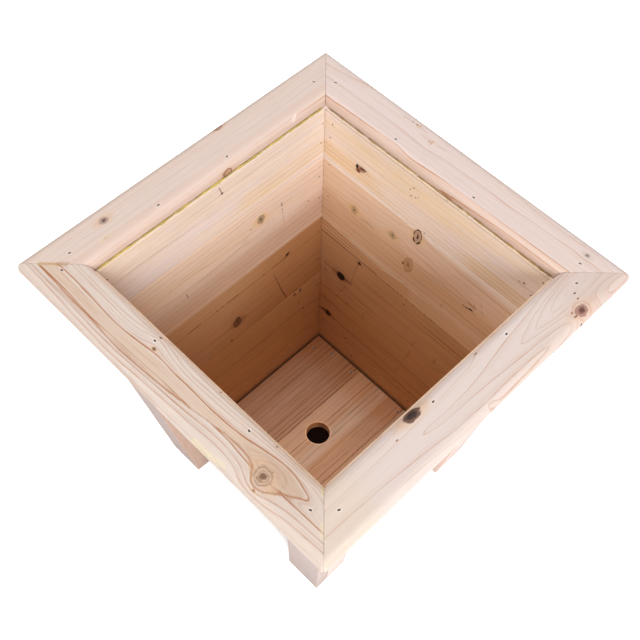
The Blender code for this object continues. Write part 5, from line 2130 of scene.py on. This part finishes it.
def glue_material(name, pale, deep, dirt):
    mat, net = new_material(name)
    place = net.add("ShaderNodeTexCoord").outputs["Object"]
    soft = net.noise(place, scale=60.0, detail=3.0, rough=0.6)
    fine = net.noise(place, scale=420.0, detail=3.0, rough=0.6)
    colour = net.mix(net.step(0.35, 0.65, soft), lin(*pale), lin(*deep))
    colour = net.mix(net.step(0.58, 0.75, fine) * 0.5, colour, lin(*dirt))
    shader = net.add("ShaderNodeBsdfPrincipled")
    net.put(shader.inputs["Base Color"], colour)
    net.put(shader.inputs["Roughness"], net.step(0.3, 0.7, fine, low=0.25, high=0.5))
    net.surface(shader, fine, strength=0.4, distance=0.2)
    return mat


GLUE = {
    "left": glue_material(
        "dried_glue", pale=(214, 190, 104), deep=(180, 156, 74), dirt=(140, 112, 56)
    ),
    # painted shade: under the back rim the glue is a darker copy of the same glue
    "back": glue_material(
        "dried_glue_painted_shade", pale=(186, 152, 84), deep=(152, 114, 62), dirt=(96, 66, 38)
    ),
}


def add_piece(name, bm, rows, mat):
    """Closes the rows' two ends and makes the piece."""
    bm.faces.new(rows[0][::-1])
    bm.faces.new(rows[-1])
    finish_piece(name, bm, mat)


def finish_piece(name, bm, mat):
    bmesh.ops.recalc_face_normals(bm, faces=bm.faces)
    obj = link_mesh(name, bm)
    shade_smooth(obj.data, sharp_angle=40)
    obj.data.materials.append(mat)
    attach(obj, "root")


def bead(name, side, path, radius, seed):
    """A lumpy run of dried glue. The path is in the side's own (along, outward, up)."""
    bm = bmesh.new()
    rows = []
    last = len(path) - 1
    for i, centre in enumerate(path):
        tangent = path[min(i + 1, last)] - path[max(i - 1, 0)]
        tangent /= np.linalg.norm(tangent)
        across = np.cross(tangent, (0, 0, 1.0))
        across /= np.linalg.norm(across)
        rise = np.cross(across, tangent)
        r = radius[i] * (0.15 if i in (0, last) else 1.0)
        ring = []
        for j in range(8):
            a = 2 * math.pi * j / 8
            lump = 1 + 0.25 * float(noise2(np.array([i * 0.45]), np.array([j * 1.3]), seed)[0])
            ring.append(centre + (across * math.cos(a) + rise * math.sin(a) * 0.7) * r * lump)
        rows.append([bm.verts.new(p) for p in side_to_world(np.array(ring), side) * MM])
    skin(bm, rows)
    add_piece(name, bm, rows, GLUE[side])


def edge_glue(side, spans, seed):
    """Glue squeezed out under the rim's inner edge, in spans of (start, stop, radius)."""
    for number, (start, stop, size) in enumerate(spans):
        count = max(4, int((stop - start) / 1.5))
        u = np.linspace(start, stop, count)
        wobble = noise2(u / 9.0, u * 0 + 1.5, seed + number)
        radius = size * (0.85 + 0.45 * noise2(u / 5.0, u * 0, seed + number + 30))
        fade = smooth(0, 5, u - start) * smooth(0, 5, stop - u)
        path = np.column_stack([u, RIM_IN - 0.9 + 0.25 * wobble, np.full(count, RIM_LOW + 0.15)])
        radius = radius * (0.25 + 0.75 * fade)
        bead(f"{side}_edge_glue_{number + 1}", side, path, radius, seed + number)


edge_glue("left", ((-147, -62, 1.0), (-62, 30, 1.2), (30, 96, 1.15), (96, 147, 1.05)), seed=61)
edge_glue(
    "back",
    ((-147, -104, 1.1), (-104, -40, 0.75), (-40, 22, 0.7), (22, 92, 0.65), (92, 147, 0.6)),
    seed=71,
)

# Heads of the brads through the walls into the legs: (u, height)
WALL_BRADS = {
    "left": (
        (-142, 357), (-137, 334), (-129, 291), (-126, 261), (-118, 214), (-112, 172), (-107, 129),
        (-100.5, 82.5), (142, 357.5), (100, 163), (95, 118), (89, 76),
    ),
    "back": (
        (135, 361), (135, 343), (130, 308), (124, 265), (116, 212), (108, 157), (102, 112),
        (97, 72), (-143, 364), (-137, 340), (-118, 204), (-110, 168), (-104, 122), (-99, 80),
    ),
    "front": (
        (-135, 356), (-131, 330), (-125, 296), (-120, 252), (-113, 208), (-106, 166), (-100, 121),
        (-95, 79), (134, 358), (130, 331), (125, 290), (119, 256), (112, 210), (106, 163),
        (100, 118), (95, 77),
    ),
    "right": (
        (-129, 352), (-125, 326), (-119, 288), (-113, 250), (-107, 206), (-101, 160), (-94, 115),
        (-89, 75), (128, 354), (124, 327), (119, 287), (114, 249), (107, 203), (100, 161),
        (94, 117), (89, 74),
    ),
}
BRAD_HEAD = ((-0.9, 0.80), (-0.05, 1.0), (0.16, 0.86))       # w, share of the full size
BRAD_HALF = (1.05, 0.62)


def add_wall_brad(bm, to_world, u, v, turn):
    cos, sin = math.cos(turn), math.sin(turn)
    rows = []
    for w, share in BRAD_HEAD:
        row = []
        for j in range(12):
            a = 2 * math.pi * j / 12
            x = rounded(math.cos(a), BRAD_HALF[0] * share, 0.7)
            y = rounded(math.sin(a), BRAD_HALF[1] * share, 0.8)
            row.append((u + x * cos - y * sin, v + x * sin + y * cos, w))
        rows.append([bm.verts.new(p) for p in to_world(np.array(row, float)) * MM])
    skin(bm, rows)
    bm.faces.new(rows[0][::-1])
    bm.faces.new(rows[-1])


for number, (side, spots) in enumerate(WALL_BRADS.items()):
    heads = bmesh.new()
    for i, (u, z) in enumerate(spots):
        turn = math.radians(40.0 * math.sin(1.7 * i + number))
        add_wall_brad(heads, wall_frames(side)[0], u, slope(z), turn)
    finish_piece(f"{side}_wall_brad_heads", heads, STEEL)


# =====================================================================================
# 10. Studio floor, light and camera (metres)
# =====================================================================================
def studio_floor(half_size=6.0, cells=8, height=-0.0002):
    """A white floor, with painted shadow under the box, where its shade falls."""
    bm = bmesh.new()
    steps = [half_size * (i / cells - 0.5) * 2 for i in range(cells + 1)]
    grid = [[bm.verts.new((x, y, height)) for x in steps] for y in steps]
    for j in range(cells):
        for i in range(cells):
            bm.faces.new((grid[j][i], grid[j][i + 1], grid[j + 1][i + 1], grid[j + 1][i]))
    obj = link_mesh("studio_floor", bm)
    mat = bpy.data.materials.new("studio_floor")
    mat.use_nodes = True
    shader = mat.node_tree.nodes["Principled BSDF"]
    shader.inputs["Base Color"].default_value = (0.92, 0.92, 0.92, 1)
    shader.inputs["Roughness"].default_value = 0.9
    shader.inputs["Specular IOR Level"].default_value = 0.0
    shader.inputs["Emission Color"].default_value = (1, 1, 1, 1)
    net = Nodes(mat.node_tree)
    x, y, _ = net.split(net.add("ShaderNodeTexCoord").outputs["Object"])
    away = net.math("MAXIMUM", net.math("ABSOLUTE", x), net.math("ABSOLUTE", y))
    # painted shadow: the floor's colour is dark under the box
    under, open_floor = (0.10, 0.062, 0.052), (0.92, 0.92, 0.92)
    net.put(shader.inputs["Base Color"], net.mix(net.step(0.07, 0.115, away), under, open_floor))
    # the floor glows strongly to the camera and weakly to the box: painted light, which hides the
    # box's shadow round it in view
    seen = Value(net, net.add("ShaderNodeLightPath").outputs["Is Camera Ray"])
    glow = (
        net.step(0.10, 0.30, away) * 0.25 * (1.0 - seen)
        + net.step(0.085, 0.13, away) * 0.9 * seen
    )
    net.put(shader.inputs["Emission Strength"], glow)
    obj.data.materials.append(mat)


studio_floor()

world = bpy.data.worlds.new("studio")
bpy.context.scene.world = world
world.use_nodes = True
background = world.node_tree.nodes["Background"]
background.inputs["Color"].default_value = (1.0, 1.0, 1.0, 1)
background.inputs["Strength"].default_value = 0.31

LIGHT_TARGET = Vector((0, 0, 0.25))


def area_light(name, size, power, location):
    data = bpy.data.lights.new(name, "AREA")
    data.shape = "SQUARE"
    data.size = size
    data.energy = power
    lamp = bpy.data.objects.new(name, data)
    lamp.location = location
    aim = LIGHT_TARGET - Vector(location)
    lamp.rotation_euler = aim.to_track_quat("-Z", "Y").to_euler()
    bpy.context.scene.collection.objects.link(lamp)


area_light("key", size=1.3, power=58.0, location=(2.116, -0.942, 1.430))
area_light("over_the_back", size=1.0, power=24.0, location=(-0.636, 0.636, 2.475))
area_light("fill", size=1.3, power=13.0, location=(-0.286, -2.037, 1.486))

# The camera's direction from the box, in degrees: round from -Y towards +X, up from level, and
# the camera's own roll
AZIMUTH, ELEVATION, ROLL = (math.radians(angle) for angle in (43.522, 57.9355, 2.1469))
# Millimetres from the middle of the rim's top, before the roll
CAMERA_BACK, CAMERA_RIGHT, CAMERA_UP = 947.32, -2.76, -47.68


def add_camera():
    back = Vector((
        math.sin(AZIMUTH) * math.cos(ELEVATION),
        -math.cos(AZIMUTH) * math.cos(ELEVATION),
        math.sin(ELEVATION),
    ))
    right = Vector((math.cos(AZIMUTH), math.sin(AZIMUTH), 0.0))
    up = back.cross(right)
    rolled_right = right * math.cos(ROLL) + up * math.sin(ROLL)
    rolled_up = -right * math.sin(ROLL) + up * math.cos(ROLL)
    place = (back * CAMERA_BACK + right * CAMERA_RIGHT + up * CAMERA_UP) * MM
    place += Vector((0, 0, TOP * MM))
    data = bpy.data.cameras.new("photo_camera")
    data.sensor_width = 36.0
    data.lens = 58.302
    data.clip_start = 0.01
    camera = bpy.data.objects.new("photo_camera", data)
    columns = (rolled_right, rolled_up, back, place)
    camera.matrix_world = Matrix([[*(c[i] for c in columns)] for i in range(3)] + [[0, 0, 0, 1]])
    bpy.context.scene.collection.objects.link(camera)
    bpy.context.scene.camera = camera


add_camera()
bpy.context.scene.view_settings.view_transform = "Standard"

bpy.context.view_layer.update()
